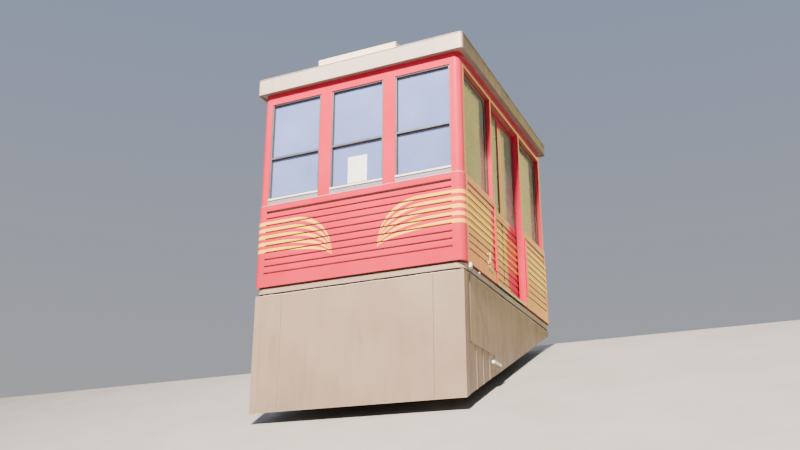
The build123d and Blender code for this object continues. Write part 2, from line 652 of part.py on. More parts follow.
# Underframe: sole bars on the grade, cut level where they meet the floor, posts and braces
sole_bar = on_grade(
    span(
        (SOLE_BAR_INNER, SOLE_BAR_OUTER),
        (-CAR_LENGTH, CAR_LENGTH),
        (SOLE_BAR_FOOT, SOLE_BAR_HEAD),
    )
)
sole_bar &= span((0, HALF_W), (-frame_y, frame_y), (-CAR_LENGTH, SILL_FOOT))
write("sole_bars", *both_sides(sole_bar))

cross_members = []
cross_places = [(place, CROSS_HEIGHT) for place in (-CROSS_END, -BRAKE_PLACE, 0.0, BRAKE_PLACE)]
for place, height in cross_places + [(CROSS_END, ROPE_MEMBER_HEIGHT)]:
    member = span(
        (-SOLE_BAR_INNER, SOLE_BAR_INNER),
        (place - CROSS_WIDTH / 2, place + CROSS_WIDTH / 2),
        (SOLE_BAR_FOOT, SOLE_BAR_FOOT + height),
    )
    cross_members.append(on_grade(member))
write("cross_members", *cross_members)

outrigger = span(
    (SOLE_BAR_OUTER, tube_low),
    (-OUTRIGGER_WIDTH / 2, OUTRIGGER_WIDTH / 2),
    (SOLE_BAR_FOOT, SOLE_BAR_FOOT + OUTRIGGER_WIDTH),
)
drop = span(
    (tube_low, skirt_in_x),
    (-OUTRIGGER_WIDTH / 2, OUTRIGGER_WIDTH / 2),
    (rail_head, SOLE_BAR_FOOT + OUTRIGGER_WIDTH),
)
outriggers = []
for place in (-CROSS_END, -BRAKE_PLACE, BRAKE_PLACE):
    outriggers += both_sides(on_grade(Pos(0, place, 0) * (outrigger + drop)))
write("outriggers", *outriggers)

brace_middle = (SOLE_BAR_INNER + SOLE_BAR_OUTER) / 2
frame_posts = []
braces = []
post_places = bearer_places[:POST_COUNT]
for place in post_places:
    low, high = place - FRAME_POST / 2, place + FRAME_POST / 2
    outline = [
        (low, track_height(low, SOLE_BAR_HEAD)),
        (high, track_height(high, SOLE_BAR_HEAD)),
        (high, SILL_FOOT),
        (low, SILL_FOOT),
    ]
    frame_posts += both_sides(across(outline, SOLE_BAR_INNER, SOLE_BAR_OUTER))
for place, following in zip(post_places, post_places[1:]):
    low, high = place + FRAME_POST / 2, following - FRAME_POST / 2
    foot = track_height(low, SOLE_BAR_HEAD) + BRACE_FOOT_GAP
    outline = [(low, foot), (high, SILL_FOOT - BRACE_HEIGHT), (high, SILL_FOOT), (low, foot + BRACE_HEIGHT)]
    braces += both_sides(across(outline, brace_middle - BRACE_WIDTH / 2, brace_middle + BRACE_WIDTH / 2))
write("frame_posts", *frame_posts)
write("frame_braces", *braces)

# Axle boxes under the sole bars, blind outside, and the wheelsets that turn in them
box_inner = SOLE_BAR_INNER - TREAD_CLEARANCE
box_outer = SOLE_BAR_OUTER + TREAD_CLEARANCE
box_head = SOLE_BAR_FOOT - TREAD_RADIUS
box_plan = Circle(AXLE_BOX_RADIUS) + Pos(0, box_head / 2) * Rectangle(2 * AXLE_BOX_RADIUS, box_head)
box_plan &= Pos(0, box_head - AXLE_BOX_RADIUS) * Rectangle(2 * AXLE_BOX_RADIUS, 2 * AXLE_BOX_RADIUS)
axle_box = Pos(box_inner, 0, 0) * extrude(Plane.YZ * box_plan, amount=box_outer - box_inner)
bore = Pos(box_inner, 0, 0) * extrude(
    Plane.YZ * Circle(JOURNAL_RADIUS + JOURNAL_CLEARANCE), amount=box_outer - box_inner
)
cover = Pos(box_outer, 0, 0) * extrude(Plane.YZ * Circle(AXLE_RADIUS), amount=AXLE_BOX_COVER)
axle_box = axle_box - bore + cover
axle_places = {"lower": -AXLE_HALF, "upper": AXLE_HALF}
boxes = []
for place in axle_places.values():
    boxes += both_sides(on_grade(Pos(0, place, TREAD_RADIUS) * axle_box))
write("axle_boxes", *boxes)

tread_half = RAIL_HEAD / 2 + TREAD_CLEARANCE
flange_radius = TREAD_RADIUS + FLANGE_HEIGHT
rim_inner = TREAD_RADIUS - RIM_THICKNESS
flanged_half = tread_half + FLANGE_ROOT
flange_rim = [
    (flanged_half, flange_radius),
    (flanged_half - FLANGE_TIP, flange_radius),
    (tread_half, TREAD_RADIUS),
]
roller_rim = [(ROLLER_WIDTH / 2, TREAD_RADIUS)]


def wheel(rim, half_width):
    """A wheel about X: hub, web and rim, whose outer right half is a list of (x, radius)."""
    inner = [
        (HUB_LENGTH / 2, AXLE_RADIUS),
        (HUB_LENGTH / 2, HUB_RADIUS),
        (WEB_THICKNESS / 2, HUB_RADIUS),
        (WEB_THICKNESS / 2, rim_inner),
        (half_width, rim_inner),
    ]
    right = inner + rim
    left = [(-x, radius) for x, radius in reversed(right)]
    return revolve(make_face(Polyline(*right, *left, close=True)), axis=Axis.X)


axle_profile = [
    (0, 0),
    (box_outer - TREAD_CLEARANCE, 0),
    (box_outer - TREAD_CLEARANCE, JOURNAL_RADIUS),
    (box_inner - JOURNAL_SHOULDER, JOURNAL_RADIUS),
    (box_inner - JOURNAL_SHOULDER, AXLE_RADIUS),
    (0, AXLE_RADIUS),
]
half_axle = revolve(make_face(Polyline(*axle_profile, close=True)), axis=Axis.X)
axle = half_axle + mirror(half_axle, about=Plane.YZ)
wheels = [
    Pos(-RAIL_CENTRE, 0, 0) * wheel(flange_rim, flanged_half),
    Pos(RAIL_CENTRE, 0, 0) * wheel(roller_rim, ROLLER_WIDTH / 2),
]
for name, place in axle_places.items():
    centre = Pos(0, place, TREAD_RADIUS)
    write(f"axle_{name}", on_grade(centre * axle))
    write(f"wheels_{name}", *[on_grade(centre * one) for one in wheels])

# Rail brakes over the guided rail, and the clevis that takes the haul rope's socket
housing = span(
    (-BRAKE_WIDTH / 2, BRAKE_WIDTH / 2), (-BRAKE_LENGTH / 2, BRAKE_LENGTH / 2), (JAW_HEAD, SOLE_BAR_FOOT)
)
housing = fillet(housing.edges().filter_by(Axis.Z), BRAKE_RADIUS)
jaw_inner = RAIL_HEAD / 2 + JAW_GAP
jaw = span((jaw_inner, jaw_inner + JAW_THICKNESS), (-JAW_LENGTH / 2, JAW_LENGTH / 2), (JAW_FOOT, JAW_HEAD))
brake_places = [Pos(-RAIL_CENTRE, place, 0) for place in (-BRAKE_PLACE, BRAKE_PLACE)]
write("rail_brakes", *[on_grade(place * housing) for place in brake_places])
write("brake_jaws", *[on_grade(place * one) for place in brake_places for one in both_sides(jaw)])

rope_pin_u = CROSS_END + ROPE_REACH
clevis_half = CLEVIS_GAP / 2 + CLEVIS_EAR
drawbar_outline = [
    (CROSS_END - CROSS_WIDTH / 2, SOLE_BAR_FOOT),
    (CROSS_END + CROSS_WIDTH / 2, SOLE_BAR_FOOT),
    (rope_pin_u - 2 * CLEVIS_RADIUS, ROPE_PIN_V + CLEVIS_RADIUS),
    (rope_pin_u, ROPE_PIN_V + CLEVIS_RADIUS),
    (rope_pin_u, ROPE_PIN_V - CLEVIS_RADIUS),
    (rope_pin_u - 3 * CLEVIS_RADIUS, ROPE_PIN_V - CLEVIS_RADIUS),
]
drawbar = across(drawbar_outline, -clevis_half, clevis_half)
drawbar += Pos(0, rope_pin_u, ROPE_PIN_V) * Rot(0, 90, 0) * Cylinder(CLEVIS_RADIUS, 2 * clevis_half)
drawbar -= span(
    (-CLEVIS_GAP / 2, CLEVIS_GAP / 2),
    (rope_pin_u - 1.5 * CLEVIS_RADIUS, rope_pin_u + 2 * CLEVIS_RADIUS),
    (ROPE_PIN_V - 2 * CLEVIS_RADIUS, ROPE_PIN_V + 2 * CLEVIS_RADIUS),
)
drawbar -= Pos(0, rope_pin_u, ROPE_PIN_V) * Rot(0, 90, 0) * Cylinder(ROPE_PIN_RADIUS, 2 * clevis_half)
write("rope_drawbar", on_grade(drawbar))

# Outside fittings of the right-hand side: a cable box and a clipped conduit on the sill, a handle
# and a blank plate by the doorway, and a low bar
box_low = BOX_CORNER_GAP - sill_y
box_head = BODY_FOOT - BOX_HEAD_GAP
cable_box = span((sill_x, sill_x + BOX_PROUD), (box_low, box_low + BOX_LENGTH), (box_head - BOX_HEIGHT, box_head))
write("cable_box", cable_box)

conduit_x = sill_x + CONDUIT_RADIUS
conduit_low = CONDUIT_END_GAP - SKIRT_Y
conduit_z = SILL_FOOT + CONDUIT_ABOVE_SILL_FOOT
conduit = Pos(conduit_x, conduit_low + CONDUIT_LENGTH / 2, conduit_z) * Rot(90, 0, 0) * Cylinder(
    CONDUIT_RADIUS, CONDUIT_LENGTH
)
clip_pitch = (CONDUIT_LENGTH - 2 * CONDUIT_CLIP_INSET) / (CONDUIT_CLIP_COUNT - 1)
for number in range(CONDUIT_CLIP_COUNT):
    place = conduit_low + CONDUIT_CLIP_INSET + number * clip_pitch
    conduit += span(
        (sill_x, conduit_x),
        (place - CLIP_LENGTH / 2, place + CLIP_LENGTH / 2),
        (SILL_FOOT, SILL_FOOT + CLIP_HEIGHT),
    )
write("side_conduit", conduit)

handle_x = HALF_W + HANDLE_REACH
handle_y = -BAY_START - HANDLE_POST_GAP
handle_foot = BODY_FOOT + HANDLE_ABOVE_FOOT
handle = Pos(handle_x, handle_y, handle_foot + HANDLE_LENGTH / 2) * Cylinder(HANDLE_RADIUS, HANDLE_LENGTH)
for height in (handle_foot + 2 * HANDLE_RADIUS, handle_foot + HANDLE_LENGTH - 2 * HANDLE_RADIUS):
    leg = Pos((HALF_W + handle_x - GROOVE_DEPTH) / 2, handle_y, height) * Rot(0, 90, 0)
    handle += leg * Cylinder(HANDLE_RADIUS, handle_x - HALF_W + GROOVE_DEPTH)
write("belt_handle", handle - mirror(bay_panel, about=Plane.XZ))
plate_y = -BAY_START - PLATE_POST_GAP
plate_z = BODY_FOOT + PLATE_ABOVE_FOOT
plate = span((HALF_W, HALF_W + PLATE_THICKNESS), (plate_y - PLATE_LENGTH, plate_y), (plate_z, plate_z + PLATE_HEIGHT))
write("belt_plate", plate)

bar_z = track_height(BAR_PLACE, SKIRT_CLEARANCE) + BAR_ABOVE_FOOT
low_bar = span(
    (SKIRT_X, SKIRT_X + BAR_SIZE),
    (BAR_PLACE - BAR_LENGTH / 2, BAR_PLACE + BAR_LENGTH / 2),
    (bar_z - BAR_SIZE / 2, bar_z + BAR_SIZE / 2),
)
write("skirt_bar", fillet(low_bar.edges().group_by(Axis.X)[-1], BAR_RADIUS))
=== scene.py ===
"""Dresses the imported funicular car: finishes, seals, fasteners, fittings, studio floor, light and camera.

Metres, in the CAD's row frame: +X is right looking uphill, +Y uphill and +Z up. The track's rail-top plane
passes through the origin and rises along +Y at the grade.
"""

import logging
from dataclasses import dataclass
from enum import Enum
from functools import partial
from itertools import product
from math import cos, pi, radians, sin, tan
from typing import Any, Callable, Iterable, Mapping, Optional, Sequence, Union

import bmesh
import bpy
from mathutils import Matrix, Vector


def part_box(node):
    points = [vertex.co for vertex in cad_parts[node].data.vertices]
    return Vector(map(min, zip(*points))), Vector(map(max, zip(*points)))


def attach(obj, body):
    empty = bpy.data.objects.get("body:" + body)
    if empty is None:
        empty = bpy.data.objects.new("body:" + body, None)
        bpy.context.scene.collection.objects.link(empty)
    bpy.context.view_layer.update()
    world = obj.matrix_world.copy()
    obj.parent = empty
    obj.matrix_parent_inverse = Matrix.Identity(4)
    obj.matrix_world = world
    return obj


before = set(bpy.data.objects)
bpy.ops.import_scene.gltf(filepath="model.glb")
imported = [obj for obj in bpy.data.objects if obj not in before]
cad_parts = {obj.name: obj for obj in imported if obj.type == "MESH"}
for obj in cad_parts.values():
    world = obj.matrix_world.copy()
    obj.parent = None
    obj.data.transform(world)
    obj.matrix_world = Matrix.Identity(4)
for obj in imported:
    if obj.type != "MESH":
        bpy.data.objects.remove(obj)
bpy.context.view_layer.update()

LOG = logging.getLogger("funicular_car")
Adder = Callable[..., bpy.types.Node]
Made = Union[bpy.types.Node, bpy.types.NodeSocket]
Mesh = bpy.types.Mesh
Piece = bpy.types.Object
Point = Sequence[float]
Row = tuple[Any, ...]
GRADE = radians(22.5)
CAR = "car"
SIDES = {"right": 1.0, "left": -1.0}
ENDS = {"lower": -1.0, "upper": 1.0}


class Finish(Enum):
    """The finishes that the pieces take, by the name of their material."""

    BELT = "two_pack_gloss_enamel_red_striped"
    LEAF = "two_pack_gloss_enamel_red_striped_leaf"
    RED = "two_pack_gloss_enamel_red"
    BEAM = "satin_enamel_pale_grey_beam"
    SILL = "satin_enamel_mid_grey_sill"
    SILL_PAINT = "satin_enamel_cream_window_sill"
    SKIRT = "matt_enamel_on_sheet_steel_skirt"
    SKIRT_EDGE = "matt_enamel_rubbed_thin_on_skirt_edge"
    ROOF = "satin_enamel_cream_roof"
    ROOF_BOX = "satin_enamel_warm_cream_roof_box"
    WHITE = "powder_coated_steel_white"
    FRAME = "bitumen_paint_on_rolled_steel"
    ALUMINIUM = "mill_finish_anodised_aluminium"
    GREY_FRAME = "grey_anodised_aluminium_window_frame"
    LINING = "anodised_aluminium_champagne_frame"
    GALVANISED = "hot_dip_galvanised_steel"
    WHEEL = "rolled_wheel_steel_polished_tread"
    IRON = "sand_cast_iron"
    GLASS = "float_glass_clear"
    SIDE_GLASS = "toughened_float_glass_green_edge"
    RUBBER = "extruded_epdm_rubber"
    DECK = "studded_rubber_flooring"
    BENCH = "oiled_beech_slats"
    BENCH_BASE = "baked_enamel_on_bench_box"
    LAMP = "opal_acrylic"
    ZINC = "zinc_plated_screw"
    CREAM = "yellowed_cream_enamel_handle_and_plate"
    FLOOR = "matt_vinyl_studio_floor"


def linear(colour: str) -> tuple[float, float, float, float]:
    """Turns an sRGB hex colour into linear light.

    Args:
        colour: six hex digits, such as "f29aa0".

    Returns:
        Red, green, blue and an alpha of one.
    """
    parts = [int(colour[place:place + 2], 16) / 255 for place in (0, 2, 4)]
    lit = [part / 12.92 if part <= 0.04045 else ((part + 0.055) / 1.055) ** 2.4 for part in parts]
    return (lit[0], lit[1], lit[2], 1.0)


def add_node(
    tree: bpy.types.NodeTree,
    kind: str,
    settings: Optional[Mapping[str, Any]] = None,
    **sockets: Any,
) -> bpy.types.Node:
    """Adds a node with its settings and links.

    Args:
        tree: the tree that gets the node.
        kind: the node's type name.
        settings: the node's own options.
        **sockets: a value, a node or an output socket for each input, by the input's name in small letters
            with underscores, or by its number as in_0. A node gives its first output in use.

    Returns:
        The new node.
    """
    node = tree.nodes.new(kind)
    for option, value in (settings or {}).items():
        setattr(node, option, value)
    for name, value in sockets.items():
        if name.startswith("in_"):
            socket = node.inputs[int(name[3:])]
        else:
            socket = next(s for s in node.inputs if s.enabled and s.name.lower().replace(" ", "_") == name)
        if isinstance(value, bpy.types.Node):
            value = next(output for output in value.outputs if output.enabled)
        if isinstance(value, bpy.types.NodeSocket):
            tree.links.new(value, socket)
        else:
            socket.default_value = value
    return node


# Finishes

MATH, VECTOR, PARTS = "ShaderNodeMath", "ShaderNodeVectorMath", "ShaderNodeSeparateXYZ"
NOISE, RANGE = "ShaderNodeTexNoise", "ShaderNodeMapRange"
BLEND = ("ShaderNodeMix", {"data_type": "RGBA"})


@dataclass(frozen=True)
class Surface:
    """A surface with drifting tone, dust, rain marks, painted shade on downward faces, soft relief and eased
    edges.

    Attributes:
        finish: which finish it is.
        colour: main colour, sRGB hex.
        drift: colour of the slow variation, sRGB hex.
        grime: colour of the marks, sRGB hex.
        grime_share: how much of the marks shows, 0 to 1.
        roughness: middle roughness.
        metallic: one for bare metal.
        uneven: how far the roughness varies about its middle, as a share of it.
        dulling: how much rougher the marks make it.
        coat: weight of the clear coat.
        shine: strength of the reflection of the layer under that coat.
        under: how much painted shade, with road dirt, darkens the faces that look down, 0 to 1.
        underside_shade_colour: colour of that painted shade and dirt, sRGB hex.
        patch_mm: width of a patch of the slow variation.
        grain_mm: width of the fine variation in gloss.
        streak_mm: width of a rain mark.
        streak_length: how many times longer than wide the marks are.
        gather_mm: width of a patch in which they gather.
        relief_mm: height of the soft relief.
        relief_width_mm: width of that relief.
        edge_mm: radius that the light finds on a sharp edge.
    """

    finish: Finish
    colour: str
    drift: str
    grime: str
    grime_share: float = 0.25
    roughness: float = 0.45
    metallic: float = 0.0
    uneven: float = 0.15
    dulling: float = 0.25
    coat: float = 0.0
    shine: float = 0.5
    under: float = 0.6
    underside_shade_colour: str = "75604f"
    patch_mm: float = 600.0
    grain_mm: float = 45.0
    streak_mm: float = 90.0
    streak_length: float = 7.0
    gather_mm: float = 500.0
    relief_mm: float = 0.4
    relief_width_mm: float = 350.0
    edge_mm: float = 3.0

    def colouring(self, add: Adder, place: Made) -> Made:
        """Returns the colour before the marks go on, from the place on the surface."""
        patches = add(NOISE, vector=place, scale=1000 / self.patch_mm, detail=3.0)
        share = add(RANGE, value=patches, from_min=0.35, from_max=0.65)
        return add(*BLEND, factor=share, a=linear(self.colour), b=linear(self.drift))

    def relief(self, add: Adder, place: Made) -> Made:
        """Returns the relief's height, 0 to 1, from the place on the surface."""
        return add(NOISE, vector=place, scale=1000 / self.relief_width_mm, detail=2.0)

    def marks(self, add: Adder, place: Made) -> Made:
        """Returns how much dust and rain marking there is, 0 to 1, from the place on the surface."""
        drawn = add(VECTOR, {"operation": "MULTIPLY"}, in_0=place, in_1=(1.0, 1.0, 1 / self.streak_length))
        streaks = add(NOISE, vector=drawn, scale=1000 / self.streak_mm, detail=4.0)
        patches = add(NOISE, vector=place, scale=1000 / self.gather_mm, detail=5.0)
        return add(MATH, {"operation": "MULTIPLY"},
                   in_0=add(RANGE, value=streaks, from_min=0.42, from_max=0.72),
                   in_1=add(RANGE, value=patches, from_min=0.35, from_max=0.7))

    def build(self) -> bpy.types.Material:
        """Builds the material."""
        material = bpy.data.materials.new(self.finish.value)
        material.use_nodes = True
        material.node_tree.nodes.clear()
        add = partial(add_node, material.node_tree)
        place = add("ShaderNodeTexCoord").outputs["Object"]
        marks = self.marks(add, place)
        shown = add(MATH, {"operation": "MULTIPLY"}, in_0=marks, in_1=self.grime_share)
        colour = add(*BLEND, factor=shown, a=self.colouring(add, place), b=linear(self.grime))
        # Painted shade, with road dirt, darkens the faces that look down
        facing = add("ShaderNodeNewGeometry").outputs["True Normal"]
        upward = add(PARTS, in_0=facing).outputs["Z"]
        downward_shade = add(RANGE, value=upward, from_min=-0.5, from_max=-0.95, to_max=self.under)
        colour = add(*BLEND, factor=downward_shade, a=colour, b=linear(self.underside_shade_colour))
        fine = add(NOISE, vector=place, scale=1000 / self.grain_mm, detail=3.0)
        gloss = add(RANGE, value=fine, from_min=0.3, from_max=0.7, to_min=self.roughness * (1 - self.uneven),
                    to_max=self.roughness * (1 + self.uneven))
        rough = add(MATH, {"operation": "MULTIPLY_ADD"}, in_0=marks, in_1=self.dulling, in_2=gloss)
        eased = add("ShaderNodeBevel", {"samples": 4}, radius=self.edge_mm / 1000)
        bump = add("ShaderNodeBump", distance=self.relief_mm / 1000, height=self.relief(add, place),
                   normal=eased)
        shader = add("ShaderNodeBsdfPrincipled", base_color=colour, roughness=rough, metallic=self.metallic,
                     specular_ior_level=self.shine, coat_weight=self.coat, coat_roughness=0.05, normal=bump)
        add("ShaderNodeOutputMaterial", in_0=shader)
        return material


@dataclass(frozen=True)
class StripedEnamel(Surface):
    """Red enamel with five golden stripes masked and sprayed on the boards' lower halves.

    The stripes run level round the sides and the corners. On the ends each leaves its board some way in and
    sweeps down, so that all five meet in one point. Painted shade darkens the grooves, dust with painted
    light brightens their shaded part, and a painted highlight runs along the belt's top.

    Attributes:
        stripe: colour of the stripes, sRGB hex.
        count: how many stripes.
        grooves: how many grooves there are between the boards.
        first: pitches from the belt's top to the upper edge of the first stripe.
        share: height of a stripe in pitches on a smooth face.
        groove_share: the same inside a groove, where the masking tape doesn't reach.
        meet: pitches from the corner and from the belt's top to the point where they meet.
        turn: pitches from the corner to where the first stripe leaves its board, and what each next one adds.
        sweep: power of the rounded quarter that they follow, 2 for an ellipse.
        face: metres from the middle of the car to the boards' faces, across and along.
        behind: how far behind those faces a stripe may lie.
        cut: how far behind them a groove begins.
        plain: where the corners' smooth sheet begins, across and along.
        groove_shade: colour of the painted shade in the grooves below their ledge, sRGB hex.
        groove_shade_shares: how much of that painted shade shows on the sides and on the ends.
        ledge: pitches from a groove's head to where its painted shade begins.
        drip: height in pitches of a band of painted shade over a groove.
        shade_band_share: how much of that painted shade shows there, on the ends only.
        dust: colour of the paint in the grooves under dust and painted light, sRGB hex.
        groove_dust_and_light_share: how much of it shows.
        groove_from: metres from the belt's top down to where grooves are looked for.
        bow_from: metres from the belt's top down to where the boards' bow begins.
        bow: share of the relief that is the bow of the boards.
        groove: height of a groove in pitches.
        worn: colour of the painted highlight along the belt's top, sRGB hex.
        top_highlight_share: how much of it shows.
        rim: how far below that top it reaches, in metres.
    """

    stripe: str = "ffbe34"
    count: int = 5
    grooves: int = 10
    first: float = 2.54
    share: float = 0.52
    groove_share: float = 0.7
    meet: tuple[float, float] = (12.2, 9.0)
    turn: tuple[float, float] = (6.1, -0.87)
    sweep: float = 2.1
    face: tuple[float, float] = (1.35, 1.62)
    behind: float = 0.03
    cut: float = 0.005
    plain: tuple[float, float] = (1.211, 1.481)
    groove_shade: str = "5c2626"
    groove_shade_shares: tuple[float, float] = (0.4, 0.95)
    ledge: float = 0.055
    drip: float = 0.07
    shade_band_share: float = 0.75
    dust: str = "f0898a"
    groove_dust_and_light_share: float = 0.7
    groove_from: float = 0.03
    bow_from: float = 0.032
    bow: float = 0.85
    groove: float = 0.15
    worn: str = "ffd2d4"
    top_highlight_share: float = 0.55
    rim: float = 0.006

    def worked_out(self, add: Adder, place: Made, rows: Iterable[Row], **known: Made) -> dict[Any, Any]:
        """Works out a table of sums at each place on the surface.

        Args:
            add: adds a node to the material.
            place: the place on the surface. The rows call its parts x, y and z.
            rows: each result's name, its operation and its values. A word among the values is an earlier
                result, and a name that comes again takes the new result.
            **known: other results that the rows start from.

        Returns:
            The results by name.
        """
        parts = add(PARTS, in_0=place).outputs
        made: dict[Any, Any] = {"x": parts[0], "y": parts[1], "z": parts[2], **known}
        for name, operation, *words in rows:
            values = [made.get(word, word) for word in words]
            while operation == "MULTIPLY" and len(values) > 2:
                values[:2] = [add(MATH, {"operation": operation}, in_0=values[0], in_1=values[1])]
            inputs = {f"in_{number}": value for number, value in enumerate(values)}
            made[name] = add(MATH, {"operation": operation}, **inputs)
        return made

    def board_rows(self) -> list[Row]:
        """Returns the rows that tell the boards from the corners' smooth sheet."""
        return [
            ("across", "ABSOLUTE", "x"),
            ("along", "ABSOLUTE", "y"),
            ("far_across", "GREATER_THAN", "across", self.plain[0]),
            ("far_along", "GREATER_THAN", "along", self.plain[1]),
            ("smooth", "MULTIPLY", "far_across", "far_along"),
            ("boards", "SUBTRACT", 1.0, "smooth"),
        ]

    def sweep_rows(self, share: str, left: str) -> list[Row]:
        """Returns the rows that follow the rounded quarter.

        Args:
            share: the name of how far along the quarter a place is, 0 to 1.
            left: the name for how much of the quarter's height is left there, 1 to 0.

        Returns:
            The rows.
        """
        return [
            (share, "MINIMUM", share, 0.9995),
            (share, "MAXIMUM", share, 0.0),
            ("raised", "POWER", share, self.sweep),
            ("under", "SUBTRACT", 1.0, "raised"),
            (left, "POWER", "under", 1 / self.sweep),
        ]

    def stripe_rows(self) -> list[Row]:
        """Returns the rows that tell where a stripe shows."""
        pitch = LAYOUT.pitch
        rows = [
            ("in_from_corner", "MULTIPLY_ADD", "across", -1 / pitch, LAYOUT.half_width / pitch),
            ("inward", "MULTIPLY", "in_from_corner", "on_end"),
            ("start", "ADD", "down", 0.0),
        ]
        # Four rounds find the height at which the stripe through this place leaves the corner
        rows += 4 * [
            ("leave", "MULTIPLY_ADD", "start", self.turn[1], self.turn[0] - self.turn[1] * self.first),
            ("gone", "SUBTRACT", "inward", "leave"),
            ("room", "SUBTRACT", self.meet[0], "leave"),
            ("share", "DIVIDE", "gone", "room"),
            *self.sweep_rows("share", "left"),
            ("drop", "SUBTRACT", 1.0, "left"),
            ("top", "MULTIPLY_ADD", "drop", -self.meet[1], "down"),
            ("start", "DIVIDE", "top", "left"),
        ]
        # The small margins keep stray lines off the stripes' ends and off the first one's upper edge
        return rows + [
            ("row", "SUBTRACT", "start", self.first),
            ("part_of_row", "FRACT", "row"),
            ("reach", "MULTIPLY_ADD", "groove", self.groove_share - self.share, self.share),
            ("in_stripe", "LESS_THAN", "part_of_row", "reach"),
            ("below_first", "GREATER_THAN", "row", 0.0),
            ("above_last", "LESS_THAN", "row", self.count - 0.01),
            ("before_tip", "LESS_THAN", "inward", self.meet[0] - 0.05),
            ("rim_gone", "SUBTRACT", "inward", self.turn[0]),
            ("rim_share", "DIVIDE", "rim_gone", self.meet[0] - self.turn[0]),
            *self.sweep_rows("rim_share", "rim_left"),
            ("rim", "MULTIPLY_ADD", "rim_left", self.first - self.meet[1], self.meet[1] - 0.02),
            ("under_rim", "GREATER_THAN", "down", "rim"),
            ("outside", "MAXIMUM", "on_end", "on_side"),
            ("shown", "MULTIPLY", "outside", "in_stripe", "below_first", "above_last", "before_tip",
             "under_rim"),
        ]

    def colouring(self, add: Adder, place: Made) -> Made:
        """Returns the colour at a place on the surface: red or a stripe's, with dust and painted light in the
        grooves, painted shade in and over them and a painted highlight along the top.
        """
        pitch = LAYOUT.pitch
        rows = self.board_rows() + [
            ("on_end", "GREATER_THAN", "along", self.face[1] - self.behind),
            ("on_side", "GREATER_THAN", "across", self.face[0] - self.behind),
            ("side_depth", "SUBTRACT", self.face[0], "across"),
            ("end_depth", "SUBTRACT", self.face[1], "along"),
            ("depth", "MINIMUM", "side_depth", "end_depth"),
            ("cut_in", "GREATER_THAN", "depth", self.cut),
            ("low", "LESS_THAN", "z", LAYOUT.belt_top - self.groove_from),
            ("groove", "MULTIPLY", "cut_in", "boards", "low"),
            ("down", "MULTIPLY_ADD", "z", -1 / pitch, LAYOUT.belt_top / pitch),
            *self.stripe_rows(),
            # Dust and painted light brighten the shaded grooves outside the stripes
            ("plain_groove", "SUBTRACT", "groove", "shown"),
            ("plain_groove", "MAXIMUM", "plain_groove", 0.0),
            ("dusty", "MULTIPLY", "plain_groove", self.groove_dust_and_light_share),
            # Painted shade in the grooves from their ledge down, more on the ends, and in a band over each
            # groove there
            ("part_of_board", "FRACT", "down"),
            ("on_ledge", "GREATER_THAN", "part_of_board", self.ledge),
            ("soot_share", "MULTIPLY_ADD", "on_end", self.groove_shade_shares[1] - self.groove_shade_shares[0],
             self.groove_shade_shares[0]),
            ("sooty", "MULTIPLY", "groove", "on_ledge", "soot_share"),
            ("at_edge", "GREATER_THAN", "part_of_board", 1.0 - self.drip),
            ("above_foot", "LESS_THAN", "down", float(self.grooves)),
            ("dripping", "MULTIPLY", "at_edge", "boards", "low", "above_foot", "on_end", self.shade_band_share),
            ("sooty", "MAXIMUM", "sooty", "dripping"),
            # A painted highlight along the belt's rounded top edge
            ("near_top", "COMPARE", "z", LAYOUT.belt_top - self.rim / 2, self.rim / 2 + 0.001),
            ("rubbed", "MULTIPLY", "near_top", self.top_highlight_share),
        ]
        made = self.worked_out(add, place, rows)
        colour = super().colouring(add, place)
        for share, coat in (("dusty", self.dust), ("shown", self.stripe), ("rubbed", self.worn),
                            ("sooty", self.groove_shade)):
            colour = add(*BLEND, factor=made[share], a=colour, b=linear(coat))
        return colour

    def relief(self, add: Adder, place: Made) -> Made:
        """Returns the relief's height: each board is bowed a little outwards between its grooves."""
        pitch = LAYOUT.pitch
        rows = self.board_rows() + [
            ("down", "MULTIPLY_ADD", "z", -1 / pitch, LAYOUT.belt_top / pitch - self.groove),
            ("part", "FRACT", "down"),
            ("off", "MULTIPLY_ADD", "part", 2 / (1 - self.groove), -1.0),
            ("off", "MINIMUM", "off", 1.0),
            ("square", "MULTIPLY", "off", "off"),
            ("bowed", "MULTIPLY_ADD", "square", -self.bow, self.bow),
            ("on_belt", "LESS_THAN", "z", LAYOUT.belt_top - self.bow_from),
            ("above_foot", "LESS_THAN", "down", float(self.grooves)),
            ("bowed", "MULTIPLY", "bowed", "on_belt", "boards", "above_foot"),
            ("height", "MULTIPLY_ADD", "soft", 1.0 - self.bow, "bowed"),
        ]
        return self.worked_out(add, place, rows, soft=super().relief(add, place))["height"]


@dataclass(frozen=True)
class Lipped(Surface):
    """A surface whose upper edge is painted another colour.

    Attributes:
        lip: colour of that edge, sRGB hex.
        lip_mm: how far below the windows' foot it reaches.
    """

    lip: str = "f4e6c8"
    lip_mm: float = 20.0

    def colouring(self, add: Adder, place: Made) -> Made:
        """Returns the lip's colour above its lower edge, from the place on the surface."""
        height = add(PARTS, in_0=place).outputs["Z"]
        foot = LAYOUT.pane_foot - self.lip_mm / 1000
        above = add(MATH, {"operation": "GREATER_THAN"}, in_0=height, in_1=foot)
        return add(*BLEND, factor=above, a=super().colouring(add, place), b=linear(self.lip))


@dataclass(frozen=True)
class SideShaded(Surface):
    """A surface whose faces towards the sides are darkened by painted shade.

    Attributes:
        side_shade_colour: colour of that painted shade, sRGB hex.
        side_shade_share: how much of it covers such a face.
    """

    side_shade_colour: str = "4c3c2c"
    side_shade_share: float = 0.8

    def colouring(self, add: Adder, place: Made) -> Made:
        """Returns the painted shade's colour on the faces towards the sides."""
        facing = add("ShaderNodeNewGeometry").outputs["True Normal"]
        across = add(PARTS, in_0=facing).outputs["X"]
        sideways = add(MATH, {"operation": "ABSOLUTE"}, in_0=across)
        share = add(RANGE, value=sideways, from_min=0.6, from_max=0.95, to_max=self.side_shade_share)
        return add(*BLEND, factor=share, a=super().colouring(add, place), b=linear(self.side_shade_colour))


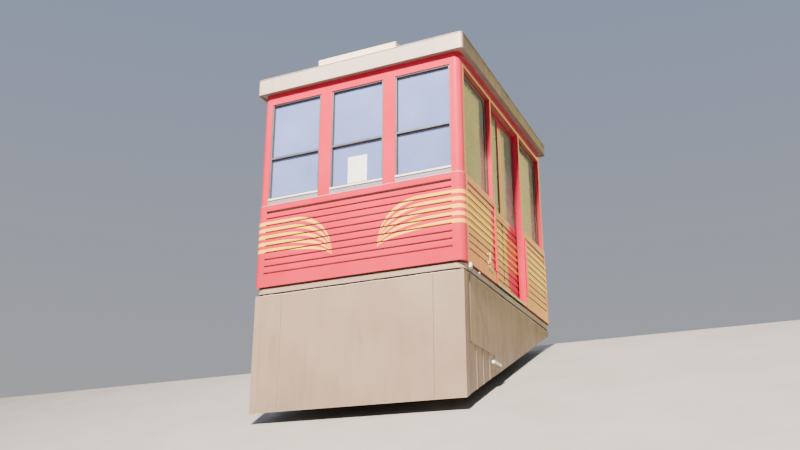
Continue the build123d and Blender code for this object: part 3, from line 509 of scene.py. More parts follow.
@dataclass(frozen=True)
class Treaded(Surface):
    """Steel whose running tread is rubbed bright and whose web keeps its mill scale.

    Attributes:
        bright: colour of the rubbed tread, sRGB hex.
        worn_mm: distance from the axle's middle line to where the rubbed steel begins.
    """

    bright: str = "c9c6c0"
    worn_mm: float = 172.0

    def colouring(self, add: Adder, place: Made) -> Made:
        """Returns scale on the web and bright steel on the tread, from the place on the surface."""
        colour = super().colouring(add, place)
        worn_from = self.worn_mm / 1000
        for side in ENDS.values():
            centre = on_grade(0.0, side * LAYOUT.axle_half, LAYOUT.tread_radius)
            off = add(VECTOR, {"operation": "SUBTRACT"}, in_0=place, in_1=centre)
            flat = add(VECTOR, {"operation": "MULTIPLY"}, in_0=off, in_1=(0.0, 1.0, 1.0))
            reach = add(VECTOR, {"operation": "LENGTH"}, in_0=flat).outputs["Value"]
            near = add(MATH, {"operation": "LESS_THAN"}, in_0=reach, in_1=2 * worn_from)
            worn = add(MATH, {"operation": "GREATER_THAN"}, in_0=reach, in_1=worn_from)
            shown = add(MATH, {"operation": "MULTIPLY"}, in_0=near, in_1=worn)
            colour = add(*BLEND, factor=shown, a=colour, b=linear(self.bright))
        return colour


@dataclass(frozen=True)
class Grained(Surface):
    """A surface whose pattern is cells, such as zinc spangle, casting sand or rubber studs.

    Attributes:
        cell_mm: width of a cell.
        cell_share: how much of the pattern shows in the colour, 0 to 1.
        closer: how much closer the cells lie along each axis.
    """

    cell_mm: float = 12.0
    cell_share: float = 0.4
    closer: tuple[float, float, float] = (1.0, 1.0, 1.0)

    def cells(self, add: Adder, place: Made) -> bpy.types.Node:
        """Returns the node that makes the cells, from the place on the surface."""
        drawn = add(VECTOR, {"operation": "MULTIPLY"}, in_0=place, in_1=self.closer)
        return add("ShaderNodeTexVoronoi", vector=drawn, scale=1000 / self.cell_mm)

    def colouring(self, add: Adder, place: Made) -> Made:
        """Returns the colour, a little different from cell to cell, from the place on the surface."""
        tone = add("ShaderNodeSeparateColor", in_0=self.cells(add, place).outputs["Color"])
        share = add(MATH, {"operation": "MULTIPLY"}, in_0=tone, in_1=self.cell_share)
        return add(*BLEND, factor=share, a=super().colouring(add, place), b=linear(self.drift))

    def relief(self, add: Adder, place: Made) -> Made:
        """Returns each cell's distance from its middle, from the place on the surface."""
        return self.cells(add, place).outputs["Distance"]


@dataclass(frozen=True)
class ClearGlass(Surface):
    """Float glass under a film of dust: it stops some light, and its colour is a painted reflection that
    shows more at a low angle.

    Attributes:
        held: how much of the light it stops and of its painted reflection it shows, seen square on and edge
            on.
        film: how much more of it the dust stops at most.
        film_mm: width of a patch of that dust.
    """

    held: tuple[float, float] = (0.35, 0.9)
    film: float = 0.12
    film_mm: float = 400.0

    def build(self) -> bpy.types.Material:
        """Builds the material."""
        material = super().build()
        tree = material.node_tree
        add = partial(add_node, tree)
        shader = next(node for node in tree.nodes if node.type == "BSDF_PRINCIPLED")
        place = next(node for node in tree.nodes if node.type == "TEX_COORD").outputs["Object"]
        # The glass's colour is a painted reflection, which covers more of what lies behind at a low angle
        slant = add("ShaderNodeLayerWeight", blend=0.35).outputs["Facing"]
        held = add(RANGE, value=slant, to_min=self.held[0], to_max=self.held[1])
        patches = add(NOISE, vector=place, scale=1000 / self.film_mm, detail=4.0)
        film = add(RANGE, value=patches, from_min=0.3, from_max=0.75, to_max=self.film)
        stopped = add(MATH, {"operation": "ADD"}, in_0=held, in_1=film)
        tree.links.new(stopped.outputs[0], shader.inputs["Alpha"])
        return material


# Places shared by the sub-assemblies


@dataclass(frozen=True)
class Layout:
    """The frame's main places, in metres.

    Attributes:
        half_width: from the middle of the car to the belt's face, across.
        belt_top: height of the belt's top.
        pitch: from one board of the belt to the next.
        pane_foot: height of the end panes' foot.
        header_foot: height of their head, where the header rails begin.
        skirt_x: from the middle of the car to the skirts' faces, across.
        skirt_y: the same along the car.
        skirt_top: height of the skirts' top.
        axle_half: half of the distance between the axles, along the rails.
        boards: how many pitches high the belt is.
        tread_radius: radius of the wheels' treads.
        rail_centre: from the middle of the car to the middle of a rail.
    """

    half_width: float
    belt_top: float
    pitch: float
    pane_foot: float
    header_foot: float
    skirt_x: float
    skirt_y: float
    skirt_top: float
    axle_half: float
    boards: int = 12
    tread_radius: float = 0.18
    rail_centre: float = 0.7525

    @classmethod
    def read(cls) -> "Layout":
        """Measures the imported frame."""
        belt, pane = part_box("belt_corners"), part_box("end_glass")
        side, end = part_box("side_skirts"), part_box("end_skirts")
        lower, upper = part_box("axle_lower"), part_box("axle_upper")
        run = ((upper[0] + upper[1]) / 2 - (lower[0] + lower[1]) / 2).length
        return cls(
            half_width=belt[1].x, belt_top=belt[1].z, pitch=(belt[1].z - belt[0].z) / cls.boards,
            pane_foot=pane[0].z, header_foot=pane[1].z, skirt_x=side[1].x, skirt_y=end[1].y,
            skirt_top=side[1].z, axle_half=run / 2,
        )


def on_grade(x: float, u: float, v: float) -> Vector:
    """Returns the place x across, u along the rails and v above them."""
    return Vector((x, u * cos(GRADE) - v * sin(GRADE), u * sin(GRADE) + v * cos(GRADE)))


LAYOUT = Layout.read()


# Meshes


class Shaper:
    """Builds one mesh out of shaped parts."""

    def __init__(self) -> None:
        """Starts an empty mesh."""
        self.work = bmesh.new()

    def bar(self, low: Point, high: Point, edge: float = 0.0015) -> "Shaper":
        """Adds a bar between two corners, with its edges eased.

        Args:
            low: lowest corner.
            high: highest corner.
            edge: radius of the edges.

        Returns:
            The shaper, for the next part.
        """
        size = Vector(high) - Vector(low)
        place = Matrix.Translation((Vector(high) + Vector(low)) / 2) @ Matrix.Diagonal((*size, 1.0))
        made = bmesh.ops.create_cube(self.work, size=1.0, matrix=place)
        edges = {line for corner in made["verts"] for line in corner.link_edges}
        bmesh.ops.bevel(self.work, geom=list(edges), offset=min(edge, min(size) / 3), segments=2, profile=0.5,
                        affect="EDGES")
        return self

    def lathe(self, profile: Sequence[tuple[float, float]], centre: Point, axis: Point,
              steps: int = 28) -> "Shaper":
        """Adds a turned part.

        Args:
            profile: places along the axis and their radius, from one end to the other.
            centre: where the axis begins.
            axis: its direction.
            steps: how many facets go round.

        Returns:
            The shaper, for the next part.
        """
        turn = Vector((0, 0, 1)).rotation_difference(Vector(axis)).to_matrix()
        rings = []
        for along, radius in profile:
            count = steps if radius > 1e-6 else 1
            spots = [Vector((radius * cos(2 * pi * n / steps), radius * sin(2 * pi * n / steps), along))
                     for n in range(count)]
            rings.append([self.work.verts.new(turn @ spot + Vector(centre)) for spot in spots])
        for ring, following in zip(rings, rings[1:]):
            for n in range(steps):
                after = n + 1
                loop = [ring[n % len(ring)], ring[after % len(ring)],
                        following[after % len(following)], following[n % len(following)]]
                self.work.faces.new(list(dict.fromkeys(loop)))
        return self

    def prism(self, outline: Sequence[Point], axis: int, low: float, high: float) -> "Shaper":
        """Adds a plate with an outline in the plane square to an axis.

        Args:
            outline: points in that plane, by the two other coordinates.
            axis: 0, 1 or 2 for X, Y or Z.
            low: where the plate begins along the axis.
            high: where it ends.

        Returns:
            The shaper, for the next part.
        """
        layers = []
        for place in (low, high):
            spots = [list(point) for point in outline]
            for spot in spots:
                spot.insert(axis, place)
            layers.append([self.work.verts.new(spot) for spot in spots])
        self.work.faces.new(layers[0])
        self.work.faces.new(layers[1])
        for n in range(len(outline)):
            after = (n + 1) % len(outline)
            self.work.faces.new((layers[0][n], layers[0][after], layers[1][after], layers[1][n]))
        return self

    def done(self, turn: Optional[Matrix] = None) -> Mesh:
        """Closes the mesh.

        Args:
            turn: how the whole mesh is turned about the origin, if it is.

        Returns:
            The mesh, with its faces outwards.
        """
        if turn:
            self.work.transform(turn)
        bmesh.ops.recalc_face_normals(self.work, faces=self.work.faces)
        mesh = bpy.data.meshes.new("work")
        self.work.to_mesh(mesh)
        self.work.free()
        return mesh


GRADE_TURN = Matrix.Rotation(GRADE, 4, "X")
CORNER_STEPS = 6

# How deep a piece is let into the one under it
SUNK = 0.001


def rows_mesh(rows: Iterable[Sequence[Point]], closed: bool = False) -> Mesh:
    """Makes a mesh of bare edges for a tree to follow.

    Args:
        rows: the points of each row.
        closed: whether each row ends where it began.

    Returns:
        The mesh.
    """
    spots: list[Point] = []
    lines: list[tuple[int, int]] = []
    for row in rows:
        first = len(spots)
        spots += [tuple(point) for point in row]
        lines += [(n, n + 1) for n in range(first, len(spots) - 1)]
        if closed:
            lines.append((len(spots) - 1, first))
    mesh = bpy.data.meshes.new("rows")
    mesh.from_pydata(spots, lines, [])
    return mesh


def rounded_loop(centre: Point, half: tuple[float, float], radius: float, axis: int) -> list[Vector]:
    """Points round a rounded rectangle that stands square to an axis.

    Args:
        centre: its middle.
        half: half of its two sizes.
        radius: radius of its corners.
        axis: 0, 1 or 2 where it faces along X, Y or Z.

    Returns:
        The points in order.
    """
    points = []
    for quarter, (first, second) in enumerate(((1, 1), (-1, 1), (-1, -1), (1, -1))):
        for step in range(CORNER_STEPS + 1):
            angle = (quarter + step / CORNER_STEPS) * pi / 2
            offset = [first * (half[0] - radius) + radius * cos(angle),
                      second * (half[1] - radius) + radius * sin(angle)]
            offset.insert(axis, 0.0)
            points.append(Vector(centre) + Vector(offset))
    return points


# Geometry Nodes


class Recipe:
    """A Geometry Nodes tree under construction, with named inputs."""

    def __init__(self, name: str, inputs: Mapping[str, str]) -> None:
        """Starts the tree.

        Args:
            name: what the tree makes.
            inputs: each input's name and the kind of its socket, apart from the geometry and the material.
        """
        self.tree = bpy.data.node_groups.new(name, "GeometryNodeTree")
        self.add = partial(add_node, self.tree)
        for title, kind in {"Geometry": "Geometry", **inputs, "Material": "Material"}.items():
            self.tree.interface.new_socket(title, in_out="INPUT", socket_type=f"NodeSocket{kind}")
        self.tree.interface.new_socket("Geometry", in_out="OUTPUT", socket_type="NodeSocketGeometry")
        self.given = self.add("NodeGroupInput").outputs

    def finish(self, made: Made) -> "Recipe":
        """Ends the tree with plain geometry in the given material."""
        real = self.add("GeometryNodeRealizeInstances", geometry=made)
        dressed = self.add("GeometryNodeSetMaterial", geometry=real, material=self.given["Material"])
        self.add("NodeGroupOutput", in_0=dressed)
        return self

    def make(self, rows: Iterable[Sequence[Point]] = (), closed: bool = False, **values: Any) -> Mesh:
        """Runs the tree.

        Args:
            rows: the points of each row that it follows, if it follows any.
            closed: whether each row ends where it began.
            **values: the inputs, by name in small letters with underscores.

        Returns:
            A plain mesh.
        """
        carrier = bpy.data.objects.new("carrier", rows_mesh(rows, closed))
        bpy.context.scene.collection.objects.link(carrier)
        modifier = carrier.modifiers.new("recipe", "NODES")
        modifier.node_group = self.tree
        for socket in self.tree.interface.items_tree:
            name = socket.name.lower().replace(" ", "_")
            if socket.in_out == "INPUT" and name in values:
                modifier[socket.identifier] = values[name]
        depsgraph = bpy.context.evaluated_depsgraph_get()
        mesh = bpy.data.meshes.new_from_object(carrier.evaluated_get(depsgraph), depsgraph=depsgraph,
                                               preserve_all_data_layers=True)
        bpy.data.objects.remove(carrier)
        return mesh


# Width of a head's crown over the width of its foot
SCREW_CROWN = 0.72
BOLT_CROWN = 0.9


def fastener_recipe() -> Recipe:
    """Heads at a pitch along rows of edges, all facing one way."""
    recipe = Recipe("fasteners_in_rows", {
        "Pitch": "Float", "Head Radius": "Float", "Head Height": "Float", "Corners": "Int",
        "Facing": "Vector",
    })
    add, given = recipe.add, recipe.given
    curve = add("GeometryNodeMeshToCurve", mesh=given["Geometry"])
    spaced = add("GeometryNodeResampleCurve", {"mode": "LENGTH"}, curve=curve, length=given["Pitch"])
    crown = add(MATH, {"operation": "MULTIPLY"}, in_0=given["Head Radius"], in_1=SCREW_CROWN)
    head = add("GeometryNodeMeshCone", vertices=given["Corners"], radius_top=crown,
               radius_bottom=given["Head Radius"], depth=given["Head Height"])
    turn = add("FunctionNodeAlignRotationToVector", {"axis": "Z"}, vector=given["Facing"])
    return recipe.finish(add("GeometryNodeInstanceOnPoints", points=spaced, instance=head, rotation=turn))


def ring_recipe() -> Recipe:
    """Six-sided heads round a circle that faces along an axis."""
    recipe = Recipe("bolts_in_a_ring", {
        "Count": "Int", "Ring Radius": "Float", "Head Radius": "Float", "Head Height": "Float",
        "Centre": "Vector", "Facing": "Vector",
    })
    add, given = recipe.add, recipe.given
    ring = add("GeometryNodeMeshCircle", vertices=given["Count"], radius=given["Ring Radius"])
    crown = add(MATH, {"operation": "MULTIPLY"}, in_0=given["Head Radius"], in_1=BOLT_CROWN)
    head = add("GeometryNodeMeshCone", vertices=6, radius_top=crown, radius_bottom=given["Head Radius"],
               depth=given["Head Height"])
    placed = add("GeometryNodeInstanceOnPoints", points=ring, instance=head)
    turn = add("FunctionNodeAlignRotationToVector", {"axis": "Z"}, vector=given["Facing"])
    real = add("GeometryNodeRealizeInstances", geometry=placed)
    return recipe.finish(add("GeometryNodeTransform", geometry=real, translation=given["Centre"],
                             rotation=turn))


def slat_recipe() -> Recipe:
    """Equal bars in a row, each with the same step to the next."""
    recipe = Recipe("slats_in_a_row", {"Count": "Int", "Start": "Vector", "Step": "Vector", "Size": "Vector"})
    add, given = recipe.add, recipe.given
    line = add("GeometryNodeMeshLine", {"mode": "OFFSET"}, count=given["Count"],
               start_location=given["Start"], offset=given["Step"])
    bar = add("GeometryNodeMeshCube", size=given["Size"])
    return recipe.finish(add("GeometryNodeInstanceOnPoints", points=line, instance=bar))


def sweep_recipe() -> Recipe:
    """A round strip or tube that follows rows of edges."""
    recipe = Recipe("strip_along_rows", {"Radius": "Float", "Corners": "Int"})
    add, given = recipe.add, recipe.given
    curve = add("GeometryNodeMeshToCurve", mesh=given["Geometry"])
    section = add("GeometryNodeCurvePrimitiveCircle", resolution=given["Corners"], radius=given["Radius"])
    swept = add("GeometryNodeCurveToMesh", curve=curve, profile_curve=section, fill_caps=True)
    return recipe.finish(add("GeometryNodeSetShadeSmooth", geometry=swept))


STRIP_CORNERS = 10


class Workshop:
    """Holds the finishes and recipes, and hangs finished pieces on the frame."""

    def __init__(self, finishes: Iterable[Surface]) -> None:
        """Builds the finishes and the recipes.

        Args:
            finishes: every finish that the car has.
        """
        self.materials = {surface.finish: surface.build() for surface in finishes}
        self.fasteners = fastener_recipe()
        self.rings = ring_recipe()
        self.slats = slat_recipe()
        self.strips = sweep_recipe()

    def dress(self, finishes: Mapping[Finish, Iterable[str]]) -> None:
        """Gives the frame's own nodes their finishes.

        Args:
            finishes: the nodes' names for each finish.
        """
        for finish, names in finishes.items():
            for name in names:
                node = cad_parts[name]
                node.data.materials.clear()
                node.data.materials.append(self.materials[finish])

    def check_all_dressed(self) -> None:
        """Reports each node of the frame that has no finish yet."""
        ours = {material.name for material in self.materials.values()}
        for name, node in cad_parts.items():
            if not any(material and material.name in ours for material in node.data.materials):
                LOG.warning("%s has no finish", name)

    def hang(self, name: str, mesh: Mesh, finish: Finish, body: str = CAR, smooth: bool = False,
             edge: float = 0.0) -> Piece:
        """Hangs a mesh on a body as a piece.

        Args:
            name: the piece's name.
            mesh: its mesh, in the row frame.
            finish: its finish.
            body: the body that it rides on.
            smooth: whether its faces are shaded smooth.
            edge: radius of a bevel on its edges.

        Returns:
            The piece.
        """
        mesh.materials.clear()
        mesh.materials.append(self.materials[finish])
        if smooth:
            mesh.shade_smooth()
        piece = bpy.data.objects.new(name, mesh)
        bpy.context.scene.collection.objects.link(piece)
        if edge:
            bevel = piece.modifiers.new("eased_edges", "BEVEL")
            bevel.width, bevel.segments, bevel.limit_method = edge, 2, "ANGLE"
        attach(piece, body)
        LOG.info("%s rides on %s with %d faces", name, body, len(mesh.polygons))
        return piece

    def screws(self, name: str, rows: Iterable[Sequence[Point]], facing: Point, pitch: float,
               head: tuple[float, float], finish: Finish = Finish.ZINC, corners: int = 8) -> Piece:
        """Hangs rows of screw or rivet heads on the car.

        Args:
            name: the piece's name.
            rows: the points of each row.
            facing: the way that the heads point.
            pitch: metres between heads.
            head: a head's radius and height.
            finish: their finish.
            corners: how many corners a head has.

        Returns:
            The piece.
        """
        mesh = self.fasteners.make(rows, pitch=pitch, head_radius=head[0], head_height=head[1],
                                   corners=corners, facing=tuple(facing), material=self.materials[finish])
        return self.hang(name, mesh, finish)

    def strip(self, name: str, rows: Iterable[Sequence[Point]], radius: float, finish: Finish,
              closed: bool = False, body: str = CAR) -> Piece:
        """Hangs a strip or tube that follows rows of points.

        Args:
            name: the piece's name.
            rows: the points of each row.
            radius: half of its width.
            finish: its finish.
            closed: whether each row ends where it began.
            body: the body that it rides on.

        Returns:
            The piece.
        """
        mesh = self.strips.make(rows, closed, radius=radius, corners=STRIP_CORNERS,
                                material=self.materials[finish])
        return self.hang(name, mesh, finish, body)

    def bars(self, count: int, start: Point, step: Point, size: Point, finish: Finish) -> Mesh:
        """Makes equal bars in a row.

        Args:
            count: how many bars.
            start: middle of the first.
            step: from one bar to the next.
            size: size of a bar.
            finish: their finish.

        Returns:
            Their mesh.
        """
        return self.slats.make(count=count, start=tuple(start), step=tuple(step), size=tuple(size),
                               material=self.materials[finish])


def joined(meshes: Iterable[Mesh]) -> Mesh:
    """Joins meshes into one, as they lie."""
    work = bmesh.new()
    for mesh in meshes:
        work.from_mesh(mesh)
        bpy.data.meshes.remove(mesh)
    one = bpy.data.meshes.new("joined")
    work.to_mesh(one)
    work.free()
    return one


# Sub-assemblies


@dataclass
class Coachwork:
    """The cabin's walls, windows and floor edge.

    Attributes:
        seal: half of the width of a window's rubber seal.
        seal_lap: share of that half width by which the seal laps an end pane.
        seal_corner: radius of its corners there.
        bar_drop: from the head of an end window to the middle of its cross bar.
        bar: height of that bar.
        end_frame: width of an end window's frame.
        side_frame: width of a side window's frame.
        side_corners: radii of that frame's outer corners and of its clear opening's.
        side_depths: how far outside the frame's face its own seal lies, and how far behind it the glass's.
        side_lap: from the clear opening's edge to the middle of the glass's seal.
        bay: where a side window begins and ends along the car.
        end_columns: middles of the end windows across the car.
        lip: half length of a sill's drip lip, its drop below the panes' foot and its radius.
        bead: radius of the beads on the door posts.
        bead_places: where those beads stand across the car.
        clip: half width, half height and thickness of a clip of the placard.
        clip_places: from the placard's side and from its foot or head to a clip's middle.
        card: thickness of the blank card on the middle pane, with its gap.
        card_gap: from that pane to the card.
        card_foot: from the pane's foot up to the card's.
    """

    seal: float = 0.0065
    seal_lap: float = 0.6
    seal_corner: float = 0.012
    bar_drop: float = 0.752
    bar: float = 0.026
    end_frame: float = 0.014
    side_frame: float = 0.045
    side_corners: tuple[float, float] = (0.045, 0.07)
    side_depths: tuple[float, float] = (0.002, 0.009)
    side_lap: float = 0.003
    bay: tuple[float, float] = (0.587, 1.481)
    end_columns: tuple[float, ...] = (-0.8623, 0.0, 0.8623)
    lip: tuple[float, float, float] = (0.345, 0.024, 0.004)
    bead: float = 0.002
    bead_places: tuple[float, float] = (1.298, 1.316)
    clip: tuple[float, float, float] = (0.012, 0.008, 0.004)
    clip_places: tuple[float, float] = (0.03, 0.006)
    card: float = 0.0016
    card_gap: float = 0.0004
    card_foot: float = 0.004

    finishes = {
        Finish.BELT: ("end_panels", "side_panels", "belt_corners"),
        Finish.RED: ("corner_posts", "end_mullions", "header_rails", "door_posts", "belt_end_strips"),
        Finish.SILL_PAINT: ("window_sills",),
        Finish.BEAM: ("end_beams",),
        Finish.SILL: ("side_sills",),
        Finish.GREY_FRAME: ("end_window_frames",),
        Finish.LINING: ("side_window_frames",),
        Finish.GLASS: ("end_glass",),
        Finish.SIDE_GLASS: ("side_glass",),
        Finish.DECK: ("floor_deck",),
        Finish.WHITE: ("placard",),
    }

    def end_seals(self, shop: Workshop) -> Piece:
        """Builds the seals round the two panes of each end window."""
        foot, head = LAYOUT.pane_foot + self.end_frame, LAYOUT.header_foot - self.end_frame
        bar = LAYOUT.header_foot - self.bar_drop
        low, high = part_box("end_glass")
        wide = (high.x - low.x - (self.end_columns[2] - self.end_columns[0])) / 2
        inset, proud = self.seal * self.seal_lap, self.seal * (1 - self.seal_lap)
        loops = []
        for column, side in product(self.end_columns, ENDS.values()):
            for start, stop in ((foot, bar - self.bar / 2), (bar + self.bar / 2, head)):
                half = (wide - self.end_frame - inset, (stop - start) / 2 - inset)
                centre = (column, side * (high.y + proud), (start + stop) / 2)
                loops.append(rounded_loop(centre, half, self.seal_corner, 1))
        return shop.strip("end_window_seals", loops, self.seal, Finish.RUBBER, closed=True)

    def side_seals(self, shop: Workshop) -> Piece:
        """Builds the seals of the side windows: one round the frame and one round the glass."""
        foot, head = LAYOUT.belt_top, LAYOUT.header_foot
        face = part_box("side_window_frames")[1].x
        wide, high = (self.bay[1] - self.bay[0]) / 2, (head - foot) / 2
        loops = []
        for side, end in product(SIDES.values(), ENDS.values()):
            middle = end * (self.bay[0] + self.bay[1]) / 2
            rings = ((face + self.side_depths[0], self.seal),
                     (face - self.side_depths[1], self.side_frame + self.side_lap))
            for (x, inset), radius in zip(rings, self.side_corners):
                half = (wide - inset, high - inset)
                loops.append(rounded_loop((side * x, middle, (foot + head) / 2), half, radius, 0))
        return shop.strip("side_window_seals", loops, self.seal, Finish.RUBBER, closed=True)

    def sill_lips(self, shop: Workshop) -> Piece:
        """Builds the rolled drip lip under each end window's sill."""
        half, drop, radius = self.lip
        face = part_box("window_sills")[1].y - SUNK
        rows = [[(column + way * half, side * face, LAYOUT.pane_foot - drop) for way in (-1, 1)]
                for column, side in product(self.end_columns, ENDS.values())]
        return shop.strip("window_sill_lips", rows, radius, Finish.SILL_PAINT)

    def post_beads(self, shop: Workshop) -> Piece:
        """Builds the fine beads down the sides of the door posts, where the windows' trim ends."""
        along = self.bay[0] + self.bead / 4
        heights = (LAYOUT.belt_top + self.bead, LAYOUT.header_foot - self.bead)
        rows = [[(side * x, end * along, z) for z in heights]
                for side, end, x in product(SIDES.values(), ENDS.values(), self.bead_places)]
        return shop.strip("door_post_beads", rows, self.bead, Finish.RED)

    def placard_clips(self, shop: Workshop) -> Piece:
        """Builds the four clips that hold the blank placard."""
        low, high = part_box("placard")
        wide, tall, thick = self.clip
        across, up = self.clip_places
        shaper = Shaper()
        for x, z in product((low.x + across, high.x - across), (low.z + up, high.z - up)):
            shaper.bar((x - wide, high.y - SUNK, z - tall), (x + wide, high.y + thick, z + tall))
        return shop.hang("placard_clips", shaper.done(), Finish.ALUMINIUM)

    def placard_card(self, shop: Workshop) -> Piece:
        """Builds the blank card on the outer face of the middle pane, in front of the placard."""
        low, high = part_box("placard")
        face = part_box("end_glass")[0].y
        foot = (low.x, face - self.card, LAYOUT.pane_foot + self.card_foot)
        card = Shaper().bar(foot, (high.x, face - self.card_gap, high.z), edge=0.0003)
        return shop.hang("placard_card", card.done(), Finish.WHITE)

    def build(self, shop: Workshop) -> list[Piece]:
        """Dresses the walls and builds their pieces."""
        shop.dress(self.finishes)
        return [self.end_seals(shop), self.side_seals(shop), self.sill_lips(shop), self.post_beads(shop),
                self.placard_clips(shop), self.placard_card(shop)]


@dataclass
class Doors:
    """The two doorways with their pairs of sliding leaves.

    Attributes:
        edge: from the middle of the doorway to a closed leaf's edge.
        nose: depth of the rubber on that edge.
        nose_inset: how far inside the leaf's faces that rubber stays.
        nose_shoulder: how far its shoulders stand out from the leaf's edge.
        nose_crown: from the middle of the doorway to its crown, as a share of the leaf's own distance.
        nose_ends: from the leaf's foot up to the rubber's, and from the windows' head up to its top.
        window: half width and half height of a leaf's window.
        window_middle: from the middle of the doorway to the window's middle.
        window_corner: radius of the window's corners.
        seal: half of the width of the window's seal.
        seal_lap: from the window's edge in to the seal's middle.
        ribs: how many ribs the threshold has.
        rib: width and height of a rib.
        rib_pitch: metres between ribs.
        rib_inset: from the threshold's outer edge to the first rib's middle.
        rib_short: how much shorter than the threshold a rib is.
    """

    edge: float = 0.003
    nose: float = 0.006
    nose_inset: float = 0.002
    nose_shoulder: float = 0.001
    nose_crown: float = 0.3
    nose_ends: tuple[float, float] = (0.004, 0.03)
    window: tuple[float, float] = (0.2425, 0.658)
    window_middle: float = 0.3055
    window_corner: float = 0.04
    seal: float = 0.0055
    seal_lap: float = 0.003
    ribs: int = 6
    rib: tuple[float, float] = (0.006, 0.0024)
    rib_pitch: float = 0.0135
    rib_inset: float = 0.010
    rib_short: float = 0.012

    def leaf(self, shop: Workshop, side: str, end: str) -> list[Piece]:
        """Dresses one leaf and builds its rubber edge and window seal."""
        body, sheet, pane = (f"door_{word}{side}_{end}" for word in ("", "leaf_", "glass_"))
        shop.dress({Finish.LEAF: (sheet,), Finish.SIDE_GLASS: (pane,)})
        low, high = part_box(sheet)
        middle, half = (low.x + high.x) / 2, (high.x - low.x) / 2
        reach, along = half - self.nose_inset, ENDS[end]
        root, shoulder = along * (self.edge + self.nose), along * (self.edge - self.nose_shoulder)
        crown = along * self.edge * self.nose_crown
        outline = [(middle - reach, root), (middle - reach, shoulder), (middle - half / 2, crown),
                   (middle + half / 2, crown), (middle + reach, shoulder), (middle + reach, root)]
        foot, head = low.z + self.nose_ends[0], LAYOUT.header_foot + self.nose_ends[1]
        nose = Shaper().prism(outline, 2, foot, head).done()
        low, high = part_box(pane)
        inside = (self.window[0] - self.seal_lap, self.window[1] - self.seal_lap)
        place = (along * self.window_middle, (low.z + high.z) / 2)
        loops = [rounded_loop((x, *place), inside, self.window_corner, 0)
                 for x in (low.x - SUNK, high.x + SUNK)]
        return [shop.hang(f"{body}_rubber_edge", nose, Finish.RUBBER, body),
                shop.strip(f"{body}_window_seal", loops, self.seal, Finish.RUBBER, closed=True, body=body)]

    def threshold(self, shop: Workshop, side: str) -> Piece:
        """Builds the foot-worn ribs on the threshold outside the leaves."""
        low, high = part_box("door_thresholds")
        wide, tall = self.rib
        start = (SIDES[side] * (high.x - self.rib_inset), 0.0, high.z + tall / 2)
        mesh = shop.bars(self.ribs, start, (-SIDES[side] * self.rib_pitch, 0.0, 0.0),
                         (wide, high.y - low.y - self.rib_short, tall), Finish.ALUMINIUM)
        return shop.hang(f"threshold_ribs_{side}", mesh, Finish.ALUMINIUM, edge=0.0008)

    def build(self, shop: Workshop) -> list[Piece]:
        """Dresses the doorways and builds their pieces."""
        shop.dress({Finish.ALUMINIUM: ("door_thresholds", "door_tracks")})
        made = [self.threshold(shop, side) for side in SIDES]
        for side, end in product(SIDES, ENDS):
            made += self.leaf(shop, side, end)
        return made


